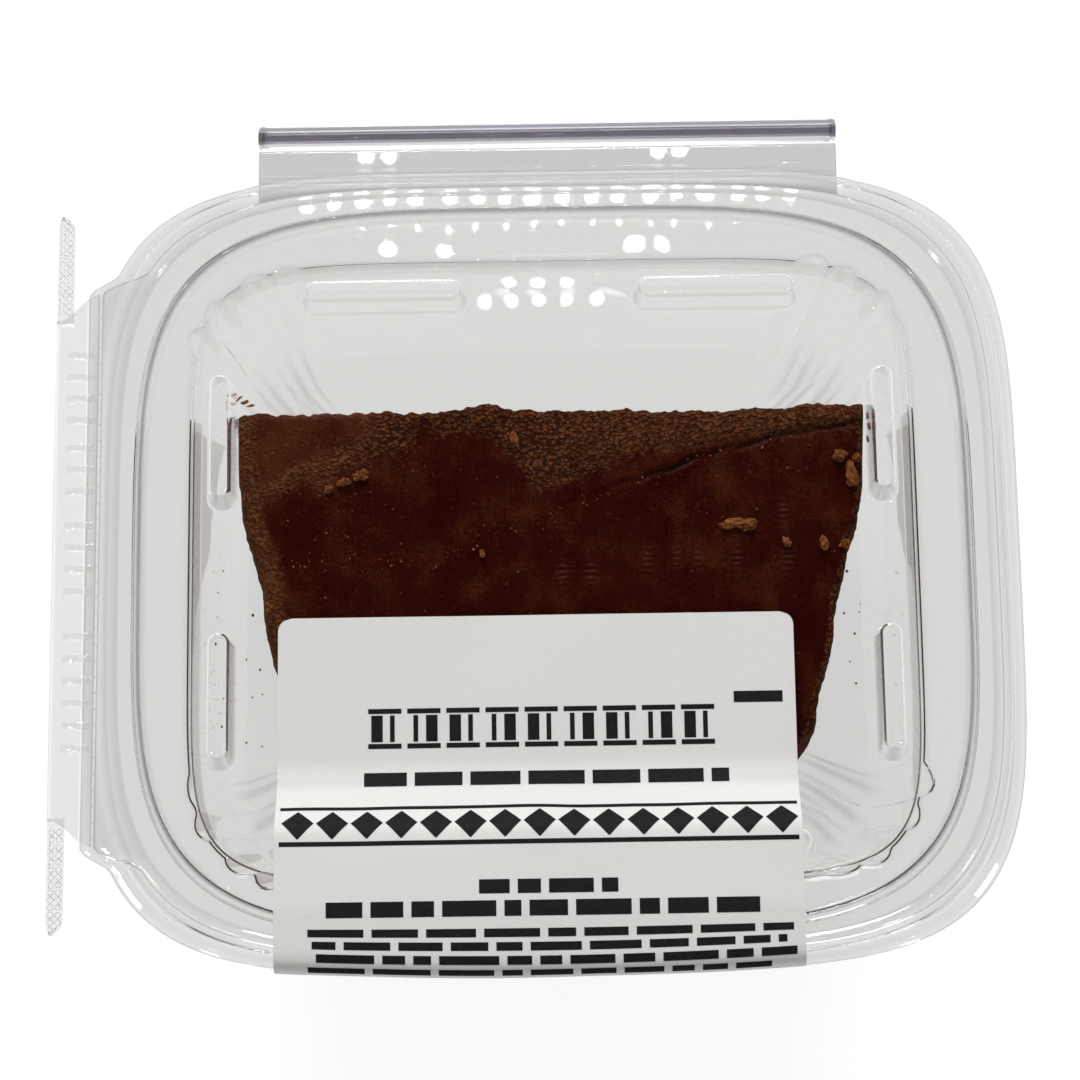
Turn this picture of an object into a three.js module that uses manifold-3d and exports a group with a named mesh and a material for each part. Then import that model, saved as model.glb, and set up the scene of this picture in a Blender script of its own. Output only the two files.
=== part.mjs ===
// A slab of chocolate fudge in its clear tamper-evident pack.
//
// The pack is thermoformed film: a tub and a hinged lid, whose flanges meet inside a raised bead. The
// lid turns about a rolled fold along the rear. A folded tear strip with a pull tab at each end runs
// down the left side, and a paper label lies over the front half of the lid. Millimetres, +Z up, the
// origin in the middle of the tub's underside, the label to the front (-Y).

import * as THREE from 'three';
import { mergeVertices } from 'three/addons/utils/BufferGeometryUtils.js';
import Module from 'manifold-3d';

const wasm = await Module();
wasm.setup();

// ---- driving dimensions -------------------------------------------------------------------------

const FILM = 0.5; // wall of the tub and the lid
const GAP = 0.35; // clearance between neighbouring pieces

const OUTER = { a: 68.75, b: 61.05 }; // half length and half width of the pack over its flange
const TUB_FLANGE_Z = 37.2; // top of the tub's flange
const LID_FLANGE_Z = 38.1; // top of the lid's flange
const BEAD_TOP_Z = 39.0; // top of the bead round the lid
const LEDGE_Z = 34.7; // ledge inside the tub's neck
const LID_RING_Z = 35.6; // lid ring that lies over the ledge
const PANEL_Z = 32.0; // sunken middle of the lid
const STEP_Z = 10.0; // where the tub's wall meets its sloped foot

const RIB = { top: 38.3, halfWidth: 1.55, draft: 1.15 }; // stacking ribs on the lid
const SIDE_RIBS = { off: 49.3, from: 10.3, to: 29.3 }; // two on each side, along Y
const END_RIBS = { off: 42.3, from: 13.2, to: 36.7 }; // two at the front and rear, along X

const HINGE = { y: 66.6, z: 37.4, radius: 1.75, halfLength: 43.65 }; // the rolled fold
const FLARE = { grow: 0.25, length: 2.4 }; // how the fold widens at its ends
const LEAF_END = HINGE.y - HINGE.radius - GAP; // where both hinge leaves stop short of the fold
const STRIP = { fold: -73.9, topPerf: -67.0, lowPerf: -69.1, halfFold: 38.0, halfRoot: 42.0 };
const TAB = { width: 2.4, from: 37.0, to: 54.8, thickness: 0.8 }; // pull tabs at the strip's ends
const BEAD_BREAK = 43.5; // half length of the break in the bead at the strip
const LEAF_ROOT = { tub: 58.0, lid: 55.3 }; // where the hinge leaves start, within the flanges
const EDGE_ROOT = { tub: -64.0, lid: -61.4 }; // where the straight edges at the strip start
const TRIM = { low: 20, high: 45, reach: 2.0, front: -70.0 }; // bounds of the tall trimming shapes

const LABEL = { left: -40.9, right: 35.3, rear: -7.0, corner: 2.0, thickness: 0.25 };
const LABEL_FLAP = { y: -61.4, bottom: 35.9 }; // where the label turns down in front

const FUDGE = { rear: 25.2, length: 64.5, rearHalf: 47.8, frontHalf: 38.9, thick: 19.3 };
const FUDGE_EASE = { side: 1.1, end: 0.8, corner: 16, cornerPull: 0.9 }; // eased edges and corners
const FUDGE_WAVE = { side: 0.5, end: 0.6, face: 0.25 }; // depth of the slab's unevenness
const FUDGE_POSE = { tilt: THREE.MathUtils.degToRad(4.6), topRear: 31.0, shiftX: -0.7 };

const QUADRANT_STEPS = 19; // steps of an outline in each quarter

// ---- materials ----------------------------------------------------------------------------------

const film = new THREE.MeshStandardMaterial({
  color: 0xeef2f4, roughness: 0.06, metalness: 0, transparent: true, opacity: 0.3,
});
const paper = new THREE.MeshStandardMaterial({ color: 0xf1f1ef, roughness: 0.75, metalness: 0 });
const chocolate = new THREE.MeshStandardMaterial({ color: 0x32120a, roughness: 0.45, metalness: 0 });

// ---- solids: closed meshes and their joins ------------------------------------------------------

/** The geometry with shared vertices, no collapsed triangles, and its faces pointing out. */
function closed(geometry) {
  const bare = geometry.clone();
  bare.deleteAttribute('normal');
  bare.deleteAttribute('uv');
  const merged = mergeVertices(bare, 1e-4);
  const index = merged.getIndex().array;
  const position = merged.getAttribute('position');
  const corner = [0, 1, 2].map(() => new THREE.Vector3());
  const kept = [];
  let volume = 0;
  for (let i = 0; i < index.length; i += 3) {
    const [p, q, r] = [index[i], index[i + 1], index[i + 2]];
    if (p === q || q === r || r === p) continue;
    [p, q, r].forEach((v, k) => corner[k].fromBufferAttribute(position, v));
    volume += corner[0].dot(corner[1].clone().cross(corner[2]));
    kept.push(p, q, r);
  }
  if (volume < 0) kept.reverse();
  merged.setIndex(kept);
  return merged;
}

function solid(geometry) {
  const body = closed(geometry);
  return new wasm.Manifold(new wasm.Mesh({
    numProp: 3,
    vertProperties: new Float32Array(body.getAttribute('position').array),
    triVerts: new Uint32Array(body.getIndex().array),
  }));
}

function toGeometry(manifold) {
  const { vertProperties, triVerts } = manifold.getMesh();
  const geometry = new THREE.BufferGeometry();
  geometry.setAttribute('position', new THREE.BufferAttribute(vertProperties, 3));
  geometry.setIndex(new THREE.BufferAttribute(triVerts, 1));
  geometry.computeVertexNormals();
  return geometry;
}

// ---- outlines of the pack -----------------------------------------------------------------------

/** Four sheaves of flutes stiffen the tub's corners: a wave over the angle, from 0 to 1. */
function fluteWave(angle) {
  const corner = Math.atan2(OUTER.b, OUTER.a);
  const fromCorner = Math.acos(Math.abs(Math.cos(angle))) - corner;
  const spread = THREE.MathUtils.degToRad(15);
  const fade = Math.max(0, 1 - (fromCorner / spread) ** 2);
  return fade * (0.5 + 0.5 * Math.cos((fromCorner / spread) * 2.5 * Math.PI));
}

/** A point of a ring: a superellipse of half sizes a and b and squareness n, swollen by flutes. */
function ringPoint(ring, angle) {
  const c = Math.abs(Math.cos(angle)) / ring.a;
  const s = Math.abs(Math.sin(angle)) / ring.b;
  const reach = (c ** ring.n + s ** ring.n) ** (-1 / ring.n) + (ring.flute ?? 0) * fluteWave(angle);
  return new THREE.Vector3(reach * Math.cos(angle), reach * Math.sin(angle), ring.z);
}

/** Angles round the pack, close together at its corners. */
function outlineAngles() {
  const angles = [];
  for (let step = 0; step < 4 * QUADRANT_STEPS; step++) {
    const t = (step / QUADRANT_STEPS) * (Math.PI / 2);
    const x = Math.sign(Math.cos(t)) * Math.sqrt(Math.abs(Math.cos(t)));
    const y = Math.sign(Math.sin(t)) * Math.sqrt(Math.abs(Math.sin(t)));
    angles.push(Math.atan2(OUTER.b * y, OUTER.a * x));
  }
  return angles;
}

/** A lathe turned from the rings' profile, then drawn out from round to the rings' own outlines. */
function lathe(rings) {
  const angles = outlineAngles();
  const profile = rings.map((ring) => new THREE.Vector2(ring.a, ring.z));
  const geometry = new THREE.LatheGeometry(profile, angles.length);
  const position = geometry.getAttribute('position');
  for (let turn = 0; turn <= angles.length; turn++) {
    rings.forEach((ring, row) => {
      const point = ring.a > 0
        ? ringPoint(ring, angles[turn % angles.length])
        : new THREE.Vector3(0, 0, ring.z);
      position.setXYZ(turn * rings.length + row, point.x, point.y, point.z);
    });
  }
  return geometry;
}

/** The rings moved square to their profile by a distance, towards its underside. */
function offsetRings(rings, distance) {
  return rings.map((ring, i) => {
    const before = rings[Math.max(i - 1, 0)];
    const after = rings[Math.min(i + 1, rings.length - 1)];
    const along = [[before, ring], [ring, after]]
      .map(([p, q]) => new THREE.Vector2(q.a - p.a, q.z - p.z))
      .filter((step) => step.length() > 0)
      .map((step) => step.normalize());
    const normals = along.map((step) => new THREE.Vector2(step.y, -step.x));
    const mean = normals.reduce((sum, normal) => sum.add(normal), new THREE.Vector2()).normalize();
    const shift = mean.multiplyScalar(distance / Math.max(mean.dot(normals[0]), 0.5));
    if (ring.a === 0) return { ...ring, z: ring.z - distance };
    return { ...ring, a: ring.a + shift.x, b: ring.b + shift.x, z: ring.z + shift.y };
  });
}

/** A film of even thickness under a profile that runs from the middle out to the edge. */
function filmShell(rings, thickness) {
  return lathe([...rings, ...offsetRings(rings, thickness).reverse()]);
}

// ---- tub ----------------------------------------------------------------------------------------

/** The tub's inside, from the middle of its floor up to the ledge. */
const CAVITY = [
  { a: 0, b: 0, n: 2, z: FILM },
  { a: 37.0, b: 30.2, n: 3.4, z: FILM },
  { a: 40.0, b: 33.2, n: 3.6, z: FILM + 1.3 },
  { a: 48.2, b: 41.4, n: 4.4, z: STEP_Z - 1.0, flute: 0.5 },
  { a: 49.4, b: 42.6, n: 4.8, z: STEP_Z + 1.5, flute: 1.1 },
  { a: 52.2, b: 45.6, n: 5.6, z: 23.5, flute: 1.4 },
  { a: 54.1, b: 47.8, n: 6.6, z: LEDGE_Z - 0.6, flute: 0.5 },
];

/** From the ledge out over the neck, the flange and its bead to the lip. */
const RIM = [
  { a: 54.8, b: 48.5, n: 6.4, z: LEDGE_Z },
  { a: 61.3, b: 54.9, n: 4.1, z: LEDGE_Z },
  { a: 62.2, b: 55.8, n: 4.1, z: TUB_FLANGE_Z },
  { a: 65.9, b: 58.8, n: 4.5, z: TUB_FLANGE_Z },
  { a: 66.3, b: 59.2, n: 4.6, z: BEAD_TOP_Z },
  { a: 67.1, b: 59.8, n: 4.6, z: BEAD_TOP_Z },
  { a: 67.6, b: 60.2, n: 4.6, z: TUB_FLANGE_Z + 0.2 },
  { ...OUTER, n: 4.7, z: TUB_FLANGE_Z },
];

/** A box between two places along each axis. */
function box([x0, x1], [y0, y1], [z0, z1]) {
  const geometry = new THREE.BoxGeometry(x1 - x0, y1 - y0, z1 - z0);
  return geometry.translate((x0 + x1) / 2, (y0 + y1) / 2, (z0 + z1) / 2);
}

/** The tub. At the hinge and the tear strip its bead is cut away, and its flange runs on straight. */
function tub() {
  const overFlange = [TUB_FLANGE_Z, BEAD_TOP_Z + TRIM.reach];
  const inFlange = [TUB_FLANGE_Z - FILM, TUB_FLANGE_Z];
  const alongStrip = [-STRIP.halfRoot, STRIP.halfRoot];
  const alongHinge = [-HINGE.halfLength, HINGE.halfLength];
  const pastHinge = alongHinge.map((x) => x + Math.sign(x) * GAP);
  const beadAtStrip = solid(box([-OUTER.a - TRIM.reach, EDGE_ROOT.lid + TRIM.reach],
    [-BEAD_BREAK, BEAD_BREAK], overFlange));
  const beadAtHinge = solid(box(pastHinge, [LEAF_ROOT.lid - TRIM.reach, LEAF_END], overFlange));
  const shelf = solid(box([STRIP.lowPerf, EDGE_ROOT.tub], alongStrip, inFlange));
  const leaf = solid(box(alongHinge, [LEAF_ROOT.tub, LEAF_END], inFlange));
  return solid(filmShell([...CAVITY, ...RIM], FILM))
    .subtract(beadAtStrip).subtract(beadAtHinge).add(shelf).add(leaf);
}

// ---- lid ----------------------------------------------------------------------------------------

const LID = [
  { a: 0, b: 0, n: 2, z: PANEL_Z },
  { a: 51.4, b: 45.2, n: 7, z: PANEL_Z },
  { a: 53.2, b: 47.0, n: 7, z: LID_RING_Z },
  { a: 60.3, b: 53.9, n: 4.1, z: LID_RING_Z },
  { a: 61.2, b: 54.8, n: 4.1, z: LID_FLANGE_Z },
  { a: 65.5, b: 58.4, n: 4.55, z: LID_FLANGE_Z },
];

/** A flat-topped rib with drafted sides and round ends, from a lathe pulled out along X. */
function ribForm(halfWidth, draft, halfLength, bottom, top) {
  const sides = 16;
  const profile = [[0, bottom], [halfWidth + draft, bottom], [halfWidth, top], [0, top]];
  const geometry = new THREE.LatheGeometry(
    profile.map(([radius, z]) => new THREE.Vector2(radius, z)), sides, Math.PI / sides);
  geometry.rotateX(Math.PI / 2);
  const position = geometry.getAttribute('position');
  for (let turn = 0; turn <= sides; turn++) {
    const right = Math.sin(((turn + 0.5) / sides) * 2 * Math.PI) > 0;
    for (let row = 0; row < profile.length; row++) {
      const i = turn * profile.length + row;
      position.setX(i, position.getX(i) + (right ? 1 : -1) * (halfLength - halfWidth));
    }
  }
  return geometry;
}

/** Centre, half length and turn of each of the eight ribs. */
function ribPlaces() {
  const places = [];
  for (const side of [-1, 1]) {
    for (const end of [-1, 1]) {
      places.push({
        x: side * SIDE_RIBS.off, y: (end * (SIDE_RIBS.from + SIDE_RIBS.to)) / 2,
        half: (SIDE_RIBS.to - SIDE_RIBS.from) / 2, turn: Math.PI / 2,
      });
      places.push({
        x: (side * (END_RIBS.from + END_RIBS.to)) / 2, y: end * END_RIBS.off,
        half: (END_RIBS.to - END_RIBS.from) / 2, turn: 0,
      });
    }
  }
  return places;
}

/** The lid: film with eight hollow ribs, an edge that runs to the tear strip and a hinge leaf. */
function lid() {
  let body = solid(filmShell(LID, FILM));
  for (const place of ribPlaces()) {
    const put = (form) => solid(form.rotateZ(place.turn).translate(place.x, place.y, 0));
    const outer = put(ribForm(RIB.halfWidth, RIB.draft, place.half, PANEL_Z - FILM / 2, RIB.top));
    const inner = put(ribForm(RIB.halfWidth - FILM, RIB.draft, place.half - FILM,
      PANEL_Z - FILM - 0.1, RIB.top - FILM));
    body = body.add(outer).subtract(inner);
  }
  const inFlange = [LID_FLANGE_Z - FILM, LID_FLANGE_Z];
  const edge = solid(box([STRIP.topPerf, EDGE_ROOT.lid],
    [-STRIP.halfRoot, STRIP.halfRoot], inFlange));
  const leaf = solid(box([-HINGE.halfLength, HINGE.halfLength],
    [LEAF_ROOT.lid, LEAF_END], inFlange));
  return body.add(edge).add(leaf);
}

// ---- rolled fold of the hinge -------------------------------------------------------------------

/** The fold: a tube along the hinge's axis, flared at both ends. */
function hingeFold() {
  const inner = HINGE.radius - FILM;
  const half = HINGE.halfLength;
  const even = half - FLARE.length;
  const outside = [[half, FLARE.grow], [even, 0], [-even, 0], [-half, FLARE.grow]];
  const profile = [
    ...outside.map(([x, grow]) => new THREE.Vector2(HINGE.radius + grow, x)),
    ...outside.reverse().map(([x, grow]) => new THREE.Vector2(inner + grow, x)),
  ];
  profile.push(profile[0].clone());
  const geometry = new THREE.LatheGeometry(profile, 20);
  return geometry.rotateZ(-Math.PI / 2).translate(0, HINGE.y, HINGE.z);
}

// ---- tear strip ---------------------------------------------------------------------------------

/** The strip seen from above: S-shaped ends, wider where it joins the lid. */
function stripPlan() {
  const { fold, halfFold, halfRoot } = STRIP;
  const out = fold - TRIM.reach;
  const root = STRIP.topPerf + GAP;
  const bend = (out + root) / 2;
  const plan = new THREE.Shape();
  plan.moveTo(out, -halfFold);
  plan.bezierCurveTo(bend, -halfFold, bend, -halfRoot, root, -halfRoot);
  plan.lineTo(root, halfRoot);
  plan.bezierCurveTo(bend, halfRoot, bend, halfFold, out, halfFold);
  return plan;
}

/** A tall prism over a flat outline, for trimming what lies under it. */
function prism(outline, bottom, top, steps = 6) {
  return new THREE.ExtrudeGeometry(outline,
    { depth: top - bottom, bevelEnabled: false, curveSegments: steps })
    .translate(0, 0, bottom);
}

/** The strip's section: an upper leaf, a round fold and a lower leaf. */
function stripSection() {
  const top = LID_FLANGE_Z;
  const low = TUB_FLANGE_Z - FILM;
  const middle = (top + low) / 2;
  const outer = (top - low) / 2;
  const centre = STRIP.fold + outer;
  const section = new THREE.Shape();
  section.moveTo(STRIP.topPerf - GAP, top);
  section.lineTo(centre, top);
  section.absarc(centre, middle, outer, Math.PI / 2, (3 * Math.PI) / 2, false);
  section.lineTo(STRIP.lowPerf - GAP, low);
  section.lineTo(STRIP.lowPerf - GAP, low + FILM);
  section.lineTo(centre, low + FILM);
  section.absarc(centre, middle, outer - FILM, (3 * Math.PI) / 2, Math.PI / 2, true);
  section.lineTo(STRIP.topPerf - GAP, top - FILM);
  return section;
}

/** One pull tab along the fold, with a round point at its end. */
function pullTab(end) {
  const x0 = STRIP.fold;
  const x1 = x0 + TAB.width;
  const tip = TAB.to - TAB.width;
  const outline = new THREE.Shape();
  outline.moveTo(x0, end * TAB.from);
  outline.lineTo(x1, end * TAB.from);
  outline.lineTo(x1, end * tip);
  outline.quadraticCurveTo(x1, end * TAB.to, x0 + 0.5, end * TAB.to);
  outline.lineTo(x0, end * (TAB.to - 0.6));
  const middle = (LID_FLANGE_Z + TUB_FLANGE_Z - FILM) / 2;
  return prism(outline, middle - TAB.thickness / 2, middle + TAB.thickness / 2);
}

function tearStrip() {
  const length = 2 * STRIP.halfRoot;
  const run = new THREE.ExtrudeGeometry(stripSection(),
    { depth: length, bevelEnabled: false, curveSegments: 6 });
  run.rotateX(Math.PI / 2).translate(0, STRIP.halfRoot, 0);
  return solid(run).intersect(solid(prism(stripPlan(), TRIM.low, TRIM.high)))
    .add(solid(pullTab(1))).add(solid(pullTab(-1)));
}

// ---- label --------------------------------------------------------------------------------------

/** The label's line from rear to front: on the panel, up over the ribs, over the rim and down. */
function labelLine() {
  const over = LID_FLANGE_Z + 1.25;
  return [
    [LABEL.rear, PANEL_Z + GAP],
    [-30.5, PANEL_Z + GAP],
    [-33.0, PANEL_Z + 1.0],
    [-38.6, RIB.top + GAP - 0.9],
    [-40.6, RIB.top + GAP],
    [-44.2, RIB.top + GAP + 0.1],
    [-52.0, over],
    [-59.8, over],
    [LABEL_FLAP.y + 0.4, over - 0.5],
    [LABEL_FLAP.y, over - 1.8],
    [LABEL_FLAP.y, LABEL_FLAP.bottom],
  ].map(([y, z]) => new THREE.Vector2(y, z));
}

/** The line moved square to itself, to its upper side. */
function offsetLine(points, distance) {
  return points.map((point, i) => {
    const before = points[Math.max(i - 1, 0)];
    const after = points[Math.min(i + 1, points.length - 1)];
    const along = after.clone().sub(before).normalize();
    return new THREE.Vector2(point.x + along.y * distance, point.y - along.x * distance);
  });
}

function label() {
  const lower = labelLine();
  const upper = offsetLine(lower, LABEL.thickness);
  const section = new THREE.Shape([...lower, ...upper.reverse()]);
  const width = LABEL.right - LABEL.left;
  const sheet = new THREE.ExtrudeGeometry(section, { depth: width, bevelEnabled: false });
  const axes = new THREE.Matrix4().makeBasis(
    new THREE.Vector3(0, 1, 0), new THREE.Vector3(0, 0, 1), new THREE.Vector3(1, 0, 0));
  sheet.applyMatrix4(axes).translate(LABEL.left, 0, 0);
  const { left, right, rear, corner } = LABEL;
  const plan = new THREE.Shape();
  plan.moveTo(left, TRIM.front);
  plan.lineTo(right, TRIM.front);
  plan.lineTo(right, rear - corner);
  plan.absarc(right - corner, rear - corner, corner, 0, Math.PI / 2, false);
  plan.absarc(left + corner, rear - corner, corner, Math.PI / 2, Math.PI, false);
  return solid(sheet).intersect(solid(prism(plan, TRIM.low, TRIM.high)));
}

// ---- fudge --------------------------------------------------------------------------------------

/** Slow waves that stand for the slab's uneven sides, from -1 to 1. */
function unevenness(x, y, z) {
  return 0.5 * Math.sin(0.23 * x + 1.3) * Math.cos(0.19 * y + 0.4 * z)
    + 0.3 * Math.sin(0.61 * x - 0.37 * y + 0.9) + 0.2 * Math.sin(0.83 * y + 0.71 * z + 0.21 * x);
}

/** The slab: a slice of a loaf, wide at the rear, its edges and front corners rounded. */
function slab() {
  const { length, rearHalf, frontHalf, thick } = FUDGE;
  const geometry = new THREE.BoxGeometry(2, 2, 2, 22, 14, 5);
  const position = geometry.getAttribute('position');
  for (let i = 0; i < position.count; i++) {
    const [u, v, w] = [position.getX(i), position.getY(i), position.getZ(i)];
    const share = (v + 1) / 2;
    const atSide = Math.abs(u) === 1;
    const atEnd = Math.abs(v) === 1;
    const onFace = Math.abs(w) === 1;
    const frontRound = Math.max(0, Math.abs(u) - 0.72) * Math.max(0, -v - 0.55) * FUDGE_EASE.corner;
    const edge = FUDGE_EASE.side * atSide + FUDGE_EASE.end * atEnd;
    const half = frontHalf + (rearHalf - frontHalf) * share;
    const wave = unevenness(half * u, length * share, thick * w);
    const x = u * (half - frontRound + FUDGE_WAVE.side * wave * atSide);
    const y = length * (share - 1) + frontRound * FUDGE_EASE.cornerPull
      + FUDGE_WAVE.end * wave * atEnd;
    const z = (w * (thick - edge * onFace)) / 2 + FUDGE_WAVE.face * wave * onFace;
    position.setXYZ(i, x, y, z - thick / 2);
  }
  geometry.rotateX(FUDGE_POSE.tilt);
  return geometry.translate(FUDGE_POSE.shiftX, FUDGE.rear, FUDGE_POSE.topRear);
}

/** The slab where the tub leaves room for it: pressed in, it takes the tub's shape at its foot. */
function fudge() {
  const inside = CAVITY.map((ring) => ({
    ...ring,
    a: Math.max(ring.a - GAP, 0),
    b: Math.max(ring.b - GAP, 0),
    z: ring.z + GAP,
    flute: 0,
  }));
  const top = { a: 0, b: 0, n: 2, z: LEDGE_Z - 0.6 + GAP };
  return solid(slab()).intersect(solid(lathe([...inside, top])));
}

// ---- the pack -----------------------------------------------------------------------------------

const part = new THREE.Group();
const pieces = [
  ['tub', toGeometry(tub()), film],
  ['hinge_fold', closed(hingeFold()), film],
  ['fudge', toGeometry(fudge()), chocolate],
  ['lid', toGeometry(lid()), film],
  ['tear_strip', toGeometry(tearStrip()), film],
  ['label', toGeometry(label()), paper],
];
for (const [name, geometry, material] of pieces) {
  const mesh = new THREE.Mesh(geometry, material);
  mesh.name = name;
  part.add(mesh);
}

export default part;
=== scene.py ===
"""A slab of chocolate fudge in a clear hinged pack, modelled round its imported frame.

Lengths in the classes are in millimetres in the pack's own frame, +Z up and the label to the front (-Y). The
workshop turns them into metres as it makes each piece.
"""

from __future__ import annotations

import logging
import math
import random
from dataclasses import dataclass, fields
from enum import Enum
from typing import Iterable, Sequence

import bmesh
import bpy
from bmesh.types import BMEdge, BMesh, BMVert
from mathutils import Matrix, Vector, noise


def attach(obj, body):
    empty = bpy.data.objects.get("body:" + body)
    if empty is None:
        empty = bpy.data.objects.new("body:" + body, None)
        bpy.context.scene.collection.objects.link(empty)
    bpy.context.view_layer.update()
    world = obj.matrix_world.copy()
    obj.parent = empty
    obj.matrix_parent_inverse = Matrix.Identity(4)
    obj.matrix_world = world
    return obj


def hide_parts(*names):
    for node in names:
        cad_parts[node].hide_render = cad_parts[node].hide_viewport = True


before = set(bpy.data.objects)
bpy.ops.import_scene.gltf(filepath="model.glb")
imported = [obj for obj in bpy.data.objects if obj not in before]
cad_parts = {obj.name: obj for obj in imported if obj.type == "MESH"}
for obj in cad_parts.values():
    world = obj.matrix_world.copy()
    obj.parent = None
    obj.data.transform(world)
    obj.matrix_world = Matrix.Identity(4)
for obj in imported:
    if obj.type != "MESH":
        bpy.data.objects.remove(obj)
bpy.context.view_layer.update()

MM = 0.001
log = logging.getLogger("pack")

Colour = tuple[float, float, float]
Socket = bpy.types.NodeSocket


class Slot(Enum):
    """The material slots."""

    FILM = "clear_film"
    FUDGE = "fudge"
    PAPER = "paper_label"


class Body(Enum):
    """The bodies of the pack."""

    BASE = "base"
    LID = "lid"


# ---- small tools ------------------------------------------------------------------------------------


def smoothstep(low: float, high: float, value: float) -> float:
    """Ease from 0 at low to 1 at high."""
    t = min(max((value - low) / (high - low), 0.0), 1.0)
    return t * t * (3 - 2 * t)


def track(points: Sequence[tuple[float, float]], at: float) -> float:
    """Read a line through points at a place along its first coordinate.

    Args:
        points: Places and values, by rising place.
        at: The place to read.

    Returns:
        The value there, held level past both ends.
    """
    if at <= points[0][0]:
        return points[0][1]
    for (x0, y0), (x1, y1) in zip(points, points[1:]):
        if at <= x1:
            return y0 + (y1 - y0) * smoothstep(x0, x1, at)
    return points[-1][1]


def grain(place: Vector, scale: float, seed: float = 0.0) -> float:
    """Smooth noise from about -1 to 1, with features as large as scale in millimetres."""
    return noise.noise(Vector((place.x / scale + seed, place.y / scale - seed, place.z / scale + 2 * seed)))


def peak(offset: float, width: float) -> float:
    """A soft peak: 1 at no offset, near 0 past twice the width."""
    return math.exp(-((offset / width) ** 2))


class Workshop:
    """Turns bmeshes into finished pieces."""

    @staticmethod
    def mesh(name: str, bm: BMesh, material: bpy.types.Material) -> bpy.types.Object:
        """Make an object of a bmesh.

        Args:
            name: The object's name.
            bm: Its shape in metres, which is freed.
            material: Its finish.

        Returns:
            The new object.
        """
        mesh = bpy.data.meshes.new(name)
        bm.to_mesh(mesh)
        bm.free()
        mesh.materials.append(material)
        item = bpy.data.objects.new(name, mesh)
        bpy.context.scene.collection.objects.link(item)
        return item

    @classmethod
    def piece(
        cls,
        name: str,
        bm: BMesh,
        material: bpy.types.Material,
        body: Body,
        slot: Slot,
        stands_for: Iterable[str] = (),
        sharp: float = 40.0,
        soft_rim: bool = False,
    ) -> bpy.types.Object:
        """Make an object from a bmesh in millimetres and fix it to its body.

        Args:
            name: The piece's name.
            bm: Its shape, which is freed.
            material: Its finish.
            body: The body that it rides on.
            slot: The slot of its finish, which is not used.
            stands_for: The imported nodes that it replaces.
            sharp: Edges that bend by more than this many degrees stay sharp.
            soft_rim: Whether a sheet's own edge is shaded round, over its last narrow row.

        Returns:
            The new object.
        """
        limit = math.radians(sharp)
        for face in bm.faces:
            face.smooth = True
        for edge in bm.edges:
            edge.smooth = edge.calc_face_angle(0.0) < limit if len(edge.link_faces) == 2 else soft_rim
        bmesh.ops.transform(bm, matrix=Matrix.Scale(MM, 4), verts=bm.verts)
        item = cls.mesh(name, bm, material)
        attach(item, body.value)
        if stands_for:
            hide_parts(*stands_for)
        log.info("%s: %d faces on %s", name, len(item.data.polygons), body.value)
        return item

    @staticmethod
    def thicken(item: bpy.types.Object, thickness: float, offset: float = -1.0) -> None:
        """Give a sheet its wall.

        Args:
            item: The sheet.
            thickness: The wall, in millimetres.
            offset: -1 puts the wall behind the faces, 1 before them.
        """
        wall = item.modifiers.new("wall", "SOLIDIFY")
        wall.thickness = thickness * MM
        wall.offset = offset
        wall.use_even_offset = True
        wall.use_quality_normals = True

    @staticmethod
    def face_up(bm: BMesh) -> None:
        """Turn a sheet's faces so that most of its area looks up."""
        bmesh.ops.recalc_face_normals(bm, faces=bm.faces)
        lift = sum(face.normal.z * face.calc_area() for face in bm.faces)
        if lift < 0:
            bmesh.ops.reverse_faces(bm, faces=bm.faces)

    @staticmethod
    def extrude(bm: BMesh, edges: Sequence[BMEdge]) -> tuple[list[BMVert], list[BMEdge]]:
        """Extrude a line or loop of edges.

        Args:
            bm: The mesh.
            edges: The edges to draw out.

        Returns:
            The new vertices, still in place, and the edges between them.
        """
        made = bmesh.ops.extrude_edge_only(bm, edges=edges)["geom"]
        verts = [g for g in made if isinstance(g, BMVert)]
        new = set(verts)
        return verts, [g for g in made if isinstance(g, BMEdge) and all(v in new for v in g.verts)]

    @staticmethod
    def ring(bm: BMesh, count: int, turn: bmesh.types.BMLayerItem, capped: bool) -> list[BMVert]:
        """Start a loop whose vertices know their number.

        Args:
            bm: The mesh.
            count: How many vertices the loop has.
            turn: The layer that takes their numbers.
            capped: Whether a face closes the loop.

        Returns:
            The loop's vertices, in order.
        """
        verts = bmesh.ops.create_circle(bm, cap_ends=capped, segments=count, radius=1.0)["verts"]
        for index, vert in enumerate(verts):
            vert[turn] = index
        return verts


# ---- finishes ---------------------------------------------------------------------------------------


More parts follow.
